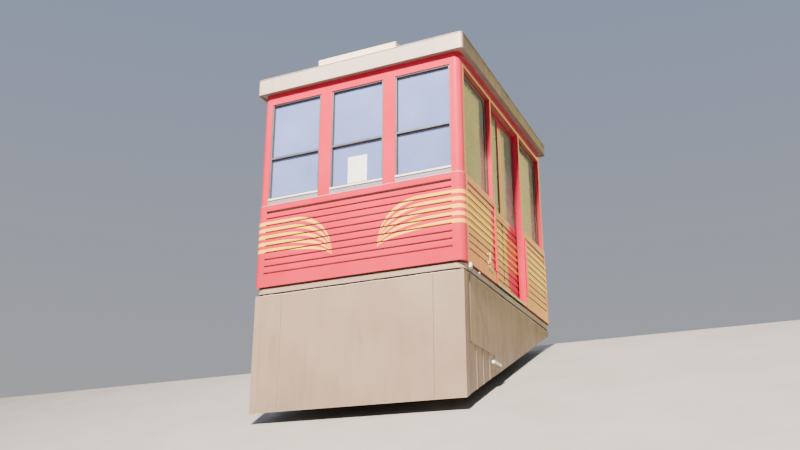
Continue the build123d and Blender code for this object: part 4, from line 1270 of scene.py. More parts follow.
@dataclass
class Roof:
    """The fascia, the gently falling roof and the long box on it.

    Attributes:
        fall: metres that the roof drops for each metre uphill.
        sheet: how far its sheet lies under the fascia's top.
        bead: radius of the rolled edge along the fascia's top.
        let_in: how deep that edge and the seams are let in.
        corner: radius of the fascia's corners.
        seams: how many standing seams each side of the box has.
        seam: width and height of a seam.
        box: height of the box above the fascia's top.
        lid: thickness of its lid, which is also how far the lid laps its sides. The lid ends half as much
            short of the box's ends.
        vents: how many slats a vent has.
        vent: thickness, length and height of a slat.
        vent_place: from the box's side out and from the fascia's top up to the lowest slat's middle.
        vent_pitch: metres between slats.
        vents_at: from the middle of the car to the middle of a vent, along.
        eyes_at: from the middle of the car to a lifting eye, across and along.
        eye: half width and height of a lifting eye.
        eye_bar: radius of its bar.
        pad: half of the two sizes of its pad.
        pad_depths: how deep the pad is let into the sheet, and how far it stands out.
    """

    fall: float = 0.02113
    sheet: float = 0.012
    bead: float = 0.006
    let_in: float = 0.002
    corner: float = 0.045
    seams: int = 6
    seam: tuple[float, float] = (0.018, 0.022)
    box: float = 0.1
    lid: float = 0.008
    vents: int = 5
    vent: tuple[float, float, float] = (0.008, 0.52, 0.006)
    vent_place: tuple[float, float] = (0.002, 0.022)
    vent_pitch: float = 0.014
    vents_at: float = 0.75
    eyes_at: tuple[float, float] = (0.98, 1.2)
    eye: tuple[float, float] = (0.05, 0.075)
    eye_bar: float = 0.009
    pad: tuple[float, float] = (0.05, 0.09)
    pad_depths: tuple[float, float] = (0.004, 0.008)

    def rim(self, along: float) -> float:
        """Returns the height of the fascia's top at a place along the car."""
        low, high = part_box("roof_fascia")
        return high.z - (along - low.y) * self.fall

    def edge_bead(self, shop: Workshop) -> Piece:
        """Builds the rolled edge round the fascia's top."""
        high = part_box("roof_fascia")[1]
        flat = rounded_loop((0.0, 0.0, 0.0), (high.x, high.y), self.corner, 2)
        loop = [(spot.x, spot.y, self.rim(spot.y) - self.let_in) for spot in flat]
        return shop.strip("roof_edge_bead", [loop], self.bead, Finish.ROOF, closed=True)

    def standing_seams(self, shop: Workshop, side: str) -> Piece:
        """Builds the folded seams between the roof sheets on one side of the box."""
        inner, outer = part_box("roof_box")[1].x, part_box("roof_shell")[1].x
        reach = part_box("roof_shell")[1].y * 2 / (self.seams + 1)
        first = -reach * (self.seams - 1) / 2
        height = self.rim(first) - self.sheet + self.seam[1] / 2 - self.let_in
        size = (outer - inner - 2 * self.let_in, *self.seam)
        mesh = shop.bars(self.seams, (SIDES[side] * (inner + outer) / 2, first, height),
                         (0.0, reach, -reach * self.fall), size, Finish.ROOF)
        return shop.hang(f"roof_seams_{side}", mesh, Finish.ROOF, edge=0.004)

    def box_lid(self, shop: Workshop) -> Piece:
        """Builds the flat lid of the roof box, which laps its sides."""
        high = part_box("roof_box")[1]
        half, reach = high.x + self.lid, high.y - self.lid / 2
        tops = [(along, self.rim(along) + self.box) for along in (-reach, reach)]
        outline = tops + [(along, top + self.lid) for along, top in reversed(tops)]
        return shop.hang("roof_box_lid", Shaper().prism(outline, 0, -half, half).done(), Finish.ROOF_BOX,
                         edge=0.003)

    def box_vents(self, shop: Workshop) -> Piece:
        """Builds the slatted vents in the sides of the roof box."""
        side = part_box("roof_box")[1].x + self.vent_place[0]
        groups = []
        for across, along in product(SIDES.values(), (-self.vents_at, self.vents_at)):
            start = (across * side, along, self.rim(along) + self.vent_place[1])
            groups.append(shop.bars(self.vents, start, (0.0, 0.0, self.vent_pitch), self.vent, Finish.ROOF))
        return shop.hang("roof_box_vents", joined(groups), Finish.ROOF, edge=0.0015)

    def lifting_eyes(self, shop: Workshop) -> list[Piece]:
        """Builds four bent-bar lifting eyes and the pads that carry them."""
        rows, pads = [], Shaper()
        half, height = self.eye
        wide, deep = self.pad
        under, over = self.pad_depths
        for across, along in product((-1, 1), (-1, 1)):
            x, y = across * self.eyes_at[0], along * self.eyes_at[1]
            foot = self.rim(y) - self.sheet
            arch = [(x, y - half * cos(step * pi / 8), foot + height - half + half * sin(step * pi / 8))
                    for step in range(9)]
            rows.append([(x, y - half, foot), *arch, (x, y + half, foot)])
            pads.bar((x - wide, y - deep, foot - under), (x + wide, y + deep, foot + over), edge=0.003)
        return [shop.strip("roof_lifting_eyes", rows, self.eye_bar, Finish.GALVANISED),
                shop.hang("roof_lifting_pads", pads.done(), Finish.ROOF)]

    def build(self, shop: Workshop) -> list[Piece]:
        """Dresses the roof and builds its pieces."""
        shop.dress({Finish.ROOF: ("roof_fascia", "roof_shell"), Finish.ROOF_BOX: ("roof_box",)})
        made = [self.edge_bead(shop), self.box_lid(shop), self.box_vents(shop)]
        made += [self.standing_seams(shop, side) for side in SIDES]
        return made + self.lifting_eyes(shop)


@dataclass
class Skirts:
    """The sheets round the wedge under the floor, and what is fixed to them.

    Attributes:
        hem: radius of the folded top edge.
        hem_inset: how far inside the sheets' faces it runs.
        wave: how far that edge strays.
        hem_steps: how many straight lengths each side of it has.
        screw_pitch: metres between the screws of a row.
        screw: radius and height of a screw's head.
        inset: from the sheets' top and from their foot to a row of screws.
        end_rise: how much higher the foot's screws sit on the downhill end, and lower on the uphill one.
        margin: from a corner to the last screw.
        clearance: height of the sheets' foot above the rails.
        recess: where the recess in a side's downhill sheet ends, and where the screws along its
            cover's foot begin.
    """

    hem: float = 0.0045
    hem_inset: float = 0.003
    wave: float = 0.0016
    hem_steps: int = 40
    screw_pitch: float = 0.26
    screw: tuple[float, float] = (0.0065, 0.0028)
    inset: tuple[float, float] = (0.022, 0.024)
    end_rise: float = 0.01
    margin: float = 0.11
    clearance: float = 0.1
    recess: tuple[float, float] = (-1.38, -0.62)

    def foot(self, along: float, above: float = 0.0) -> float:
        """Returns the height of the sheets' foot at a place along the car."""
        return along * tan(GRADE) + (self.clearance + above) / cos(GRADE)

    def top_hem(self, shop: Workshop) -> Piece:
        """Builds the folded edge along the sheets' top, a little wavy from wear."""
        x, y = LAYOUT.skirt_x - self.hem_inset, LAYOUT.skirt_y - self.hem_inset
        corners = ((x, -y), (x, y), (-x, y), (-x, -y))
        loop = []
        for start, stop in zip(corners, corners[1:] + corners[:1]):
            for step in range(self.hem_steps):
                share = step / self.hem_steps
                across, along = (start[axis] + (stop[axis] - start[axis]) * share for axis in (0, 1))
                stray = self.wave * (sin(9 * across + 4 * along) + 0.6 * sin(23 * across - 17 * along))
                loop.append((across, along, LAYOUT.skirt_top - SUNK + stray))
        return shop.strip("skirt_top_hem", [loop], self.hem, Finish.SKIRT_EDGE, closed=True)

    def screws(self, shop: Workshop) -> list[Piece]:
        """Builds the screws along the top and the foot of the sheets."""
        head, foot = self.inset
        high = LAYOUT.skirt_top - head
        walls = []
        for side, across in SIDES.items():
            x, last = across * LAYOUT.skirt_x, LAYOUT.skirt_y - self.margin
            rows = [[(x, y, high) for y in (self.recess[0], last)],
                    [(x, y, self.foot(y, foot)) for y in (self.recess[1], last)]]
            walls.append((side, rows, (across, 0, 0)))
        for end, along in ENDS.items():
            y, last = along * LAYOUT.skirt_y, LAYOUT.skirt_x - self.margin
            low = self.foot(y, foot - along * self.end_rise)
            rows = [[(x, y, z) for x in (-last, last)] for z in (high, low)]
            walls.append((end, rows, (0, along, 0)))
        return [shop.screws(f"skirt_screws_{wall}", rows, facing, self.screw_pitch, self.screw,
                            Finish.SKIRT, 10) for wall, rows, facing in walls]

    def build(self, shop: Workshop) -> list[Piece]:
        """Dresses the skirts and builds their pieces."""
        shop.dress({Finish.SKIRT: ("end_skirts", "side_skirts", "skirt_corner_trims"),
                    Finish.WHITE: ("skirt_bar",)})
        return [self.top_hem(shop), *self.screws(shop)]


@dataclass
class Underframe:
    """The sole bars, posts, braces and tubes that carry the floor and the skirts.

    Attributes:
        bar_face: how far across the sole bars' outer faces are.
        bar_foot: height of their foot above the rails.
        bar_width: width of a bar.
        cross_places: where the cross members are along the rails.
        cross_half: half of a cross member's width.
        columns: from a cross member's middle to a column of bolts.
        bolt_rows: from the bar's foot to a column's two bolts.
        bolt: radius and height of a bolt's head.
        gusset: leg and thickness of a corner plate.
        gap: from the bar's foot up to a corner plate, and from its inner face to the brake pipe.
        pipe: radius of that pipe.
        pipe_above: its height above the bar's foot.
        pipe_run: places that it passes, along the rails.
    """

    bar_face: float = 0.97
    bar_foot: float = 0.25
    bar_width: float = 0.08
    cross_places: tuple[float, ...] = (-1.38, -0.45, 0.0, 0.45)
    cross_half: float = 0.04
    columns: float = 0.055
    bolt_rows: tuple[float, float] = (0.035, 0.125)
    bolt: tuple[float, float] = (0.013, 0.010)
    gusset: tuple[float, float] = (0.11, 0.01)
    gap: float = 0.002
    pipe: float = 0.011
    pipe_above: float = 0.185
    pipe_run: tuple[float, ...] = (-1.2, -0.6, 0.0, 0.5)

    finishes = {
        Finish.FRAME: ("floor_bearers", "sole_bars", "cross_members", "frame_posts", "frame_braces",
                       "outriggers", "skirt_rails", "skirt_head_rails", "skirt_posts", "rope_drawbar"),
    }

    def bolts(self, shop: Workshop) -> Piece:
        """Builds the bolts through the sole bars where the cross members meet them."""
        meshes = []
        for across in SIDES.values():
            rows = [[on_grade(across * self.bar_face, place + shift, self.bar_foot + above)
                     for above in self.bolt_rows]
                    for place, shift in product(self.cross_places, (-self.columns, self.columns))]
            meshes.append(shop.fasteners.make(
                rows, pitch=self.bolt_rows[1] - self.bolt_rows[0], head_radius=self.bolt[0],
                head_height=self.bolt[1], corners=6, facing=(across, 0, 0),
                material=shop.materials[Finish.ZINC]))
        return shop.hang("sole_bar_bolts", joined(meshes), Finish.ZINC)

    def gussets(self, shop: Workshop) -> Piece:
        """Builds the corner plates between the cross members and the sole bars."""
        shaper = Shaper()
        inner = self.bar_face - self.bar_width
        leg, thick = self.gusset
        foot = self.bar_foot + self.gap
        for across, place, along in product(SIDES.values(), self.cross_places, (-1.0, 1.0)):
            edge = place + along * self.cross_half
            outline = [(across * inner, edge), (across * (inner - leg), edge),
                       (across * inner, edge + along * leg)]
            shaper.prism(outline, 2, foot, foot + thick)
        return shop.hang("frame_gussets", shaper.done(GRADE_TURN), Finish.FRAME)

    def brake_pipe(self, shop: Workshop) -> Piece:
        """Builds the brake pipe that runs inside the left sole bar."""
        inner = -(self.bar_face - self.bar_width - self.pipe - self.gap)
        row = [on_grade(inner, along, self.bar_foot + self.pipe_above) for along in self.pipe_run]
        return shop.strip("brake_pipe", [row], self.pipe, Finish.GALVANISED)

    def build(self, shop: Workshop) -> list[Piece]:
        """Dresses the underframe and builds its pieces."""
        shop.dress(self.finishes)
        return [self.bolts(shop), self.gussets(shop), self.brake_pipe(shop)]


@dataclass(frozen=True)
class BoltRing:
    """A ring of bolts.

    Attributes:
        count: how many bolts.
        radius: radius of the ring.
        head: radius and height of a bolt's head.
    """

    count: int
    radius: float
    head: tuple[float, float]

    def mesh(self, shop: Workshop, x: float, end: float, facing: float) -> Mesh:
        """Builds the ring round an axle.

        Args:
            shop: where it is made.
            x: how far across the face under the heads is.
            end: which axle, -1.0 for the lower one.
            facing: the way along X that the heads point.

        Returns:
            The ring's mesh.
        """
        centre = on_grade(x, end * LAYOUT.axle_half, LAYOUT.tread_radius)
        return shop.rings.make(count=self.count, ring_radius=self.radius, head_radius=self.head[0],
                               head_height=self.head[1], centre=tuple(centre), facing=(facing, 0, 0),
                               material=shop.materials[Finish.ZINC])


@dataclass
class RunningGear:
    """The wheelsets, their axle boxes and the rail brakes.

    Attributes:
        hub_face: from a wheel's middle plane to the face of its hub.
        hub_ring: the bolts in each face of a hub.
        cover_face: how far across the axle boxes' covers are.
        cover_ring: the bolts in a cover.
    """

    hub_face: float = 0.065
    hub_ring: BoltRing = BoltRing(8, 0.081, (0.011, 0.009))
    cover_face: float = 0.987
    cover_ring: BoltRing = BoltRing(6, 0.047, (0.008, 0.006))

    def hub_bolts(self, shop: Workshop, end: str) -> Piece:
        """Builds the bolts in both faces of the hubs of one wheelset."""
        meshes = [self.hub_ring.mesh(shop, across * LAYOUT.rail_centre + way * self.hub_face, ENDS[end], way)
                  for across, way in product(SIDES.values(), (-1.0, 1.0))]
        return shop.hang(f"wheel_hub_bolts_{end}", joined(meshes), Finish.ZINC, f"wheelset_{end}")

    def cover_bolts(self, shop: Workshop) -> Piece:
        """Builds the bolts in the covers of the four axle boxes."""
        meshes = [self.cover_ring.mesh(shop, across * self.cover_face, end, across)
                  for across, end in product(SIDES.values(), ENDS.values())]
        return shop.hang("axle_box_cover_bolts", joined(meshes), Finish.ZINC)

    def build(self, shop: Workshop) -> list[Piece]:
        """Dresses the running gear and builds its pieces."""
        shop.dress({Finish.WHEEL: ("axle_lower", "axle_upper", "wheels_lower", "wheels_upper"),
                    Finish.IRON: ("axle_boxes", "rail_brakes", "brake_jaws")})
        return [*(self.hub_bolts(shop, end) for end in ENDS), self.cover_bolts(shop)]


@dataclass
class Cabin:
    """What shows through the glass: benches, poles and lamps.

    Attributes:
        slats: how many slats a bench has.
        slat: depth and thickness of a slat.
        slat_pitch: metres between slats.
        slat_inset: from the benches' outer side to the first slat's middle.
        slat_short: how much shorter than a bench a slat is.
        ribs: how many moulded ribs a lamp has.
        rib: their length, width and height.
        rib_pitch: metres between ribs.
        rib_place: from a lamp's outer side and from its downhill end to the first rib's middle.
    """

    slats: int = 7
    slat: tuple[float, float] = (0.046, 0.018)
    slat_pitch: float = 0.058
    slat_inset: float = 0.032
    slat_short: float = 0.02
    ribs: int = 25
    rib: tuple[float, float, float] = (0.1, 0.006, 0.004)
    rib_pitch: float = 0.07
    rib_place: tuple[float, float] = (0.07, 0.06)

    def bench_slats(self, shop: Workshop, end: str) -> Piece:
        """Builds the beech slats on one bench."""
        low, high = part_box("benches")
        start = (0.0, ENDS[end] * (high.y - self.slat_inset), high.z + self.slat[1] / 2)
        mesh = shop.bars(self.slats, start, (0.0, -ENDS[end] * self.slat_pitch, 0.0),
                         (high.x - low.x - self.slat_short, *self.slat), Finish.BENCH)
        return shop.hang(f"bench_slats_{end}", mesh, Finish.BENCH, edge=0.005)

    def lamp_ribs(self, shop: Workshop, side: str) -> Piece:
        """Builds the moulded ribs under one ceiling lamp."""
        low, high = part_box("ceiling_lights")
        across, along = self.rib_place
        start = (SIDES[side] * (high.x - across), low.y + along, low.z - SUNK)
        mesh = shop.bars(self.ribs, start, (0.0, self.rib_pitch, 0.0), self.rib, Finish.LAMP)
        return shop.hang(f"lamp_ribs_{side}", mesh, Finish.LAMP, edge=0.001)

    def build(self, shop: Workshop) -> list[Piece]:
        """Dresses the cabin and builds its pieces."""
        shop.dress({Finish.BENCH_BASE: ("benches",), Finish.ALUMINIUM: ("grab_poles",),
                    Finish.LAMP: ("ceiling_lights",)})
        made = [self.bench_slats(shop, end) for end in ENDS]
        return made + [self.lamp_ribs(shop, side) for side in SIDES]


@dataclass
class Fittings:
    """Small fittings on the right-hand side: cable box, conduit, handle and blank plate.

    Attributes:
        lid: how far the cable box's lid stands out.
        lid_inset: from the box's edges to the lid's, and how deep the lid is let in.
        screw_inset: from the box's edges to a screw in the lid.
        lid_screw: radius and height of the head of a screw in it.
        rivet: the same for a rivet in the blank plate.
        rivet_inset: from the plate's edges to a rivet, which is also from the handle's ends to a rose.
        plug: where the small pale plug beside the box begins and ends along the car, and its height.
        plug_out: from the sill's face to its middle line.
        cap: place along the car, height and radius of the round cap on the sill.
        conduit: height of the conduit.
        stay: radius of the stay under the handle.
    """

    lid: float = 0.004
    lid_inset: tuple[float, float] = (0.003, 0.002)
    screw_inset: float = 0.010
    lid_screw: tuple[float, float] = (0.0032, 0.0016)
    rivet: tuple[float, float] = (0.004, 0.0018)
    rivet_inset: float = 0.012
    plug: tuple[float, float, float] = (-1.441, -1.404, 0.872)
    plug_out: float = 0.0115
    cap: tuple[float, float, float] = (-1.17, 0.884, 0.017)
    conduit: float = 0.846
    stay: float = 0.005

    def cable_box_lid(self, shop: Workshop) -> Piece:
        """Builds the lid of the cable box."""
        low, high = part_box("cable_box")
        inset, deep = self.lid_inset
        foot = (high.x - deep, low.y + inset, low.z + inset)
        top = (high.x + self.lid, high.y - inset, high.z - inset)
        return shop.hang("cable_box_lid", Shaper().bar(foot, top).done(), Finish.WHITE)

    def cable_plug(self, shop: Workshop) -> Piece:
        """Builds the small plug on the sill beside the box, which tapers uphill."""
        first, last, height = self.plug
        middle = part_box("side_sills")[1].x + self.plug_out
        profile = [(0.0, 0.0), (0.0, 0.010), (0.003, 0.0125), (0.014, 0.0125), (0.017, 0.0095),
                   (0.029, 0.0075), (last - first, 0.005), (last - first, 0.0)]
        mesh = Shaper().lathe(profile, (middle, first, height), (0, 1, 0), 20).done()
        return shop.hang("cable_plug", mesh, Finish.WHITE, smooth=True)

    def round_cap(self, shop: Workshop) -> Piece:
        """Builds the pale round cap on the sill."""
        place, height, radius = self.cap
        profile = [(0.0, 0.0), (0.0, radius * 1.15), (0.003, radius * 1.15), (0.005, radius),
                   (0.018, radius * 0.96), (0.023, radius * 0.8), (0.026, radius * 0.4), (0.027, 0.0)]
        mesh = Shaper().lathe(profile, (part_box("side_sills")[1].x - SUNK, place, height), (1, 0, 0)).done()
        return shop.hang("sill_round_cap", mesh, Finish.WHITE, smooth=True)

    def corner_heads(self, shop: Workshop, name: str, node: str, proud: float, inset: float,
                     head: tuple[float, float]) -> Piece:
        """Builds four heads near the corners of a fitting's outer face.

        Args:
            shop: where they are made.
            name: the piece's name.
            node: the fitting's node.
            proud: how far outside that node they sit.
            inset: from its edges to a head.
            head: a head's radius and height.

        Returns:
            The piece.
        """
        low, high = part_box(node)
        foot, top = low.z + inset, high.z - inset
        rows = [[(high.x + proud, y, z) for z in (foot, top)] for y in (low.y + inset, high.y - inset)]
        return shop.screws(name, rows, (1, 0, 0), top - foot, head)

    def glands(self, shop: Workshop) -> Piece:
        """Builds the glands at the conduit's two ends."""
        low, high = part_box("side_conduit")
        profile = [(0.0, 0.004), (0.0, 0.0085), (0.012, 0.0085), (0.016, 0.0075), (0.028, 0.0075),
                   (0.028, 0.0065)]
        shaper = Shaper()
        for place, way in ((low.y - 0.002, 1), (high.y + 0.002, -1)):
            shaper.lathe(profile, (high.x - 0.006, place, self.conduit), (0, way, 0), 20)
        return shop.hang("conduit_glands", shaper.done(), Finish.GALVANISED)

    def handle_stay(self, shop: Workshop) -> Piece:
        """Builds the slim stay that carries the handle on down to the plate."""
        low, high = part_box("belt_handle")
        head = low.z + 0.006
        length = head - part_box("belt_plate")[1].z + 0.012
        profile = [(0.0, 0.0), (0.0, self.stay), (length - 0.012, self.stay),
                   (length - 0.002, self.stay * 1.5), (length, 0.0)]
        place = (LAYOUT.half_width + self.stay * 1.6, (low.y + high.y) / 2, head)
        mesh = Shaper().lathe(profile, place, (0, 0, -1), 16).done()
        return shop.hang("handle_stay", mesh, Finish.CREAM, smooth=True)

    def roses(self, shop: Workshop) -> Piece:
        """Builds the round roses where the handle meets the belt."""
        low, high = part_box("belt_handle")
        profile = [(0.0, 0.005), (0.0, 0.012), (0.003, 0.011), (0.006, 0.0065)]
        shaper = Shaper()
        for z in (low.z + self.rivet_inset, high.z - self.rivet_inset):
            shaper.lathe(profile, (LAYOUT.half_width - SUNK, (low.y + high.y) / 2, z), (1, 0, 0), 20)
        return shop.hang("handle_roses", shaper.done(), Finish.CREAM)

    def build(self, shop: Workshop) -> list[Piece]:
        """Dresses the fittings and builds their pieces."""
        shop.dress({Finish.WHITE: ("cable_box",), Finish.GALVANISED: ("side_conduit",),
                    Finish.CREAM: ("belt_handle", "belt_plate")})
        return [self.cable_box_lid(shop),
                self.corner_heads(shop, "cable_box_screws", "cable_box", self.lid, self.screw_inset,
                                  self.lid_screw),
                self.cable_plug(shop), self.round_cap(shop), self.glands(shop),
                self.corner_heads(shop, "belt_plate_rivets", "belt_plate", 0.0, self.rivet_inset, self.rivet),
                self.roses(shop), self.handle_stay(shop)]


@dataclass(frozen=True)
class Light:
    """A soft area light.

    Attributes:
        name: the light's name.
        place: where it is.
        aim: what it points at.
        size: its width and height in metres.
        power: its power in watts.
        colour: its colour, sRGB hex.
    """

    name: str
    place: tuple[float, float, float]
    aim: tuple[float, float, float]
    size: tuple[float, float]
    power: float
    colour: str

    def build(self) -> None:
        """Adds the light."""
        lamp = bpy.data.lights.new(self.name, "AREA")
        lamp.shape, lamp.energy, lamp.color = "RECTANGLE", self.power, linear(self.colour)[:3]
        lamp.size, lamp.size_y = self.size
        holder = bpy.data.objects.new(self.name, lamp)
        holder.location = self.place
        holder.rotation_euler = (Vector(self.aim) - Vector(self.place)).to_track_quat("-Z", "Y").to_euler()
        bpy.context.scene.collection.objects.link(holder)


LIGHTS = (
    # High sun in front of the downhill end
    Light("sun", (2.3, -12.5, 13.2), (0.0, -0.6, 1.4), (1.3, 1.3), 16900.0, "fff3e6"),
    # Golden light that grazes the right-hand side from uphill
    Light("gold", (6.6, 14.5, 8.0), (0.0, -6.0, 1.0), (5.0, 11.0), 400.0, "ffe014"),
    # Weak light from uphill on the left, for the roof and the far side
    Light("back", (-5.0, 10.0, 8.0), (0.0, 0.6, 1.6), (6.0, 6.0), 900.0, "eef3ff"),
)


@dataclass
class Studio:
    """A plain grey floor that follows the grade under the wheels, soft lights and the camera.

    Attributes:
        half_width: half of the floor's width.
        lower: height of the level floor in front.
        upper: height of the level floor behind.
        stretches: where each stretch of the floor begins, its step and how many lines cross it.
        under_rail: how far the floor lies under the rail-top plane.
        ease: how softly the slope runs into the upper and into the lower level.
        horizon: colour of the surroundings at eye level, sRGB hex.
        zenith: their colour overhead, sRGB hex.
        strength: how bright they are.
        eye: the camera's place.
        aim: what it looks at.
        lens_mm: its focal length on a 36 mm frame.
    """

    half_width: float = 40.0
    lower: float = -2.24
    upper: float = 0.80
    stretches: tuple[tuple[float, float, int], ...] = ((-60, 1.5, 33), (-11, 0.1, 171), (7, 2.0, 27))
    under_rail: float = 0.036
    ease: tuple[float, float] = (0.1, 0.2)
    horizon: str = "e8e4df"
    zenith: str = "a9c2f0"
    strength: float = 0.55
    eye: tuple[float, float, float] = (4.6, -10.2, -2.1)
    aim: tuple[float, float, float] = (-0.13, -0.1, 2.05)
    lens_mm: float = 40.5

    def floor_height(self, along: float) -> float:
        """Returns the floor's height at a place along the car."""
        ramp = along * tan(GRADE) - self.under_rail
        under = (ramp + self.upper - ((ramp - self.upper) ** 2 + self.ease[0] ** 2) ** 0.5) / 2
        return (under + self.lower + ((under - self.lower) ** 2 + self.ease[1] ** 2) ** 0.5) / 2

    def floor(self, shop: Workshop) -> Piece:
        """Builds the floor sheet, closely divided only where it bends."""
        places = [first + line * step for first, step, lines in self.stretches for line in range(lines)]
        spots = [(x, y, self.floor_height(y)) for y in places for x in (-self.half_width, self.half_width)]
        faces = [(2 * n, 2 * n + 1, 2 * n + 3, 2 * n + 2) for n in range(len(places) - 1)]
        mesh = bpy.data.meshes.new("studio_floor")
        mesh.from_pydata(spots, [], faces)
        mesh.shade_smooth()
        mesh.materials.append(shop.materials[Finish.FLOOR])
        sheet = bpy.data.objects.new("studio_floor", mesh)
        bpy.context.scene.collection.objects.link(sheet)
        return sheet

    def surroundings(self) -> None:
        """Adds the pale surroundings, bluer overhead."""
        world = bpy.data.worlds.new("studio")
        world.use_nodes = True
        world.node_tree.nodes.clear()
        add = partial(add_node, world.node_tree)
        way = add("ShaderNodeTexCoord").outputs["Generated"]
        share = add(RANGE, value=add(PARTS, in_0=way).outputs["Z"], from_min=0.02, from_max=0.75)
        colour = add(*BLEND, factor=share, a=linear(self.horizon), b=linear(self.zenith))
        sky = add("ShaderNodeBackground", color=colour, strength=self.strength)
        add("ShaderNodeOutputWorld", in_0=sky)
        bpy.context.scene.world = world

    def camera(self) -> None:
        """Adds the camera low in front of the right-hand downhill corner, as in the photo."""
        lens = bpy.data.cameras.new("photo_view")
        lens.lens, lens.sensor_width, lens.clip_end = self.lens_mm, 36.0, 300.0
        holder = bpy.data.objects.new("photo_view", lens)
        turn = (Vector(self.aim) - Vector(self.eye)).to_track_quat("-Z", "Y").to_matrix().to_4x4()
        holder.matrix_world = Matrix.Translation(self.eye) @ turn
        bpy.context.scene.collection.objects.link(holder)
        bpy.context.scene.camera = holder

    def build(self, shop: Workshop) -> list[Piece]:
        """Builds the floor and adds the lights and the camera."""
        self.camera()
        self.surroundings()
        for light in LIGHTS:
            light.build()
        return [self.floor(shop)]


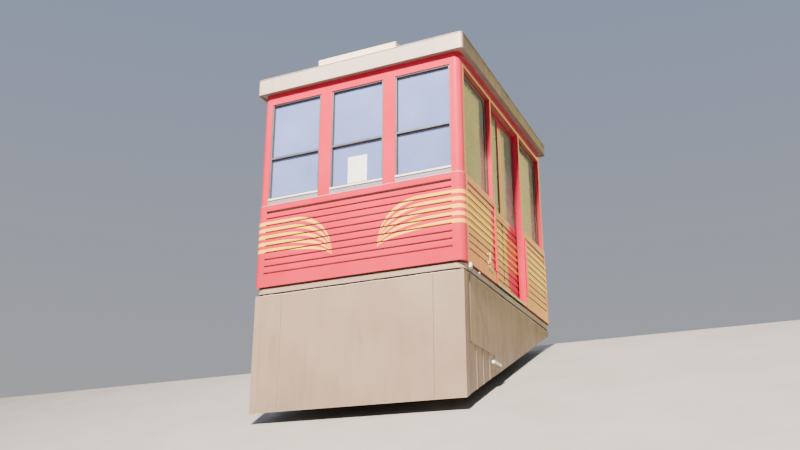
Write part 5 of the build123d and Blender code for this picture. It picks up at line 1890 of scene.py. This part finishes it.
FINISHES = (
    # Two-pack enamel over sheet steel: a deep wet gloss that holds long highlights along each board
    StripedEnamel(Finish.BELT, "c41e3c", "cb2744", "7d4a45", 0.16, 0.3, coat=0.9, shine=0.1, relief_mm=2.6),
    # The same enamel on the door leaves, whose faces stand behind the wall's
    StripedEnamel(Finish.LEAF, "c41e3c", "cb2744", "7d4a45", 0.16, 0.3, coat=0.9, shine=0.1, relief_mm=2.6,
                  face=(1.253, 1.62)),
    # The same enamel without stripes on posts and rails
    Surface(Finish.RED, "c41e3c", "cb2744", "7d4a45", 0.16, 0.3, coat=0.8, shine=0.1),
    # Pale satin enamel on the pressed beam under the wall, browned by road dust: soft highlights
    Surface(Finish.BEAM, "a8907a", "9f8771", "6f5f4e", 0.4, 0.42),
    # Grey satin enamel on the sills along the sides, dulled by dust
    Surface(Finish.SILL, "a99f8c", "9e947f", "6f6858", 0.4, 0.5),
    # Satin enamel on the window sills: grey-lilac as a painted sky reflection in their shade, with a cream
    # lip under the glass
    Lipped(Finish.SILL_PAINT, "8f8999", "878191", "6e655f", 0.3, 0.35),
    # Matt enamel on thin sheet steel, whose faces are a little buckled and streaked by rain
    Surface(Finish.SKIRT, "99846f", "907a66", "675846", 0.4, 0.5, relief_mm=3.0, relief_width_mm=420.0),
    # The same matt enamel in a pale colour along the folded top edge: a painted highlight
    Surface(Finish.SKIRT_EDGE, "dccfc0", "d0c1b0", "9c8f80", 0.3, 0.4),
    # Cream satin enamel on the roof and fascia, with soot in the rain's tracks, painted shade on the side
    # faces and dark painted shade under the eaves
    SideShaded(Finish.ROOF, "c6b4a6", "bba899", "82766a", 0.35, 0.42, underside_shade_colour="2b241d"),
    # The same enamel, newer and warmer, on the box on the roof
    Surface(Finish.ROOF_BOX, "f0dcc0", "e6d0b2", "9c8c76", 0.3, 0.42),
    # Powder coat: white with a fine orange-peel skin
    Surface(Finish.WHITE, "efeeea", "e5e3dd", "a39b8e", 0.25, 0.36, relief_mm=0.12, relief_width_mm=4.0),
    # Cream enamel on the handle and the blank plate, tinted by painted golden light: soft sheen
    Surface(Finish.CREAM, "dcbd82", "d2b176", "8b7a58", 0.3, 0.4),
    # Bitumen paint on rolled sections: nearly black, soft, with mud on it
    Surface(Finish.FRAME, "34363a", "3d3d3f", "6d6459", 0.5, 0.62, relief_mm=0.5, relief_width_mm=25.0),
    # Mill-finish anodised aluminium: drawn lines too fine to see, a soft metallic sheen
    Surface(Finish.ALUMINIUM, "c3c4c4", "b6b7b7", "7c7a75", 0.25, 0.36, 1.0, relief_mm=0.05,
            relief_width_mm=3.0),
    # Grey anodised frames of the end windows: a thin dull line round the glass
    Surface(Finish.GREY_FRAME, "6f7480", "686d79", "55534e", 0.25, 0.42, 0.6, relief_mm=0.05,
            relief_width_mm=3.0),
    # Champagne anodised frames round the side windows: warm metal
    Surface(Finish.LINING, "b39b80", "a68e74", "6f6356", 0.3, 0.38, 0.7, relief_mm=0.05, relief_width_mm=3.0),
    # Hot-dip zinc: grey spangle about 12 mm across
    Grained(Finish.GALVANISED, "b4b8ba", "9da2a5", "7c7a73", 0.3, 0.44, 0.9, relief_mm=0.03, cell_mm=12.0,
            cell_share=0.6),
    # Rolled steel wheels: brown mill scale on the web, a mirror-rubbed tread
    Treaded(Finish.WHEEL, "5b5049", "6a5a4e", "3a332e", 0.5, 0.4, 0.9, relief_mm=0.3, relief_width_mm=30.0),
    # Sand-cast iron: a pebbled skin, nearly black, with rust bloom
    Grained(Finish.IRON, "45413e", "5b4a40", "6b4a36", 0.35, 0.7, 0.4, relief_mm=0.5, cell_mm=5.0,
            cell_share=0.3),
    # Float glass of the end windows under a film of dust: a blue-grey painted sky reflection with a hard
    # mirror shine
    ClearGlass(Finish.GLASS, "8c9fdc", "8698d6", "b0aca4", 0.12, 0.05, relief_mm=0.15, relief_width_mm=500.0),
    # Toughened side glass, clearer, whose green is a painted reflection of green surroundings: a hard mirror
    # shine
    ClearGlass(Finish.SIDE_GLASS, "a2b096", "99a88d", "b3afa0", 0.12, 0.05, relief_mm=0.15,
               relief_width_mm=500.0, held=(0.2, 0.85)),
    # Extruded EPDM: black, dull, chalked where the sun reaches it
    Surface(Finish.RUBBER, "24231f", "2e2c29", "6b655c", 0.35, 0.68, relief_mm=0.05, relief_width_mm=10.0),
    # Studded rubber floor: round studs 25 mm apart
    Grained(Finish.DECK, "3a3a3c", "434345", "6f685e", 0.4, 0.62, relief_mm=1.5, cell_mm=25.0,
            cell_share=0.2),
    # Oiled beech: pale brown, grain drawn out along the slat
    Grained(Finish.BENCH, "b98d5e", "9c7146", "5c4128", 0.25, 0.42, relief_mm=0.15, cell_mm=7.0,
            cell_share=0.7, closer=(0.05, 1.0, 1.0)),
    # Brown baked enamel on the benches' steel boxes
    Surface(Finish.BENCH_BASE, "6b6057", "60564e", "3b352f", 0.3, 0.45),
    # Opal acrylic lamps: milky and smooth
    Surface(Finish.LAMP, "f4f4ee", "ecece4", "c9c5b8", 0.15, 0.3, relief_mm=0.03),
    # Zinc-plated steel screws, rivets and bolts: small bright points
    Surface(Finish.ZINC, "a9acae", "96999b", "5d5a55", 0.3, 0.38, 1.0, relief_mm=0.03, relief_width_mm=4.0),
    # Matt vinyl studio floor: plain and grey, so that little light comes up from it
    Surface(Finish.FLOOR, "96928c", "908c85", "827d75", 0.2, 0.75, relief_mm=0.2),
)


def main() -> None:
    """Builds the sub-assemblies in order and reports each one."""
    logging.basicConfig(level=logging.INFO, format="%(message)s")
    shop = Workshop(FINISHES)
    for part in (Studio(), Coachwork(), Doors(), Roof(), Skirts(), Underframe(), RunningGear(), Cabin(),
                 Fittings()):
        made = part.build(shop)
        LOG.info("%s: %d pieces", type(part).__name__, len(made))
    shop.check_all_dressed()


if __name__ == "__main__":
    main()
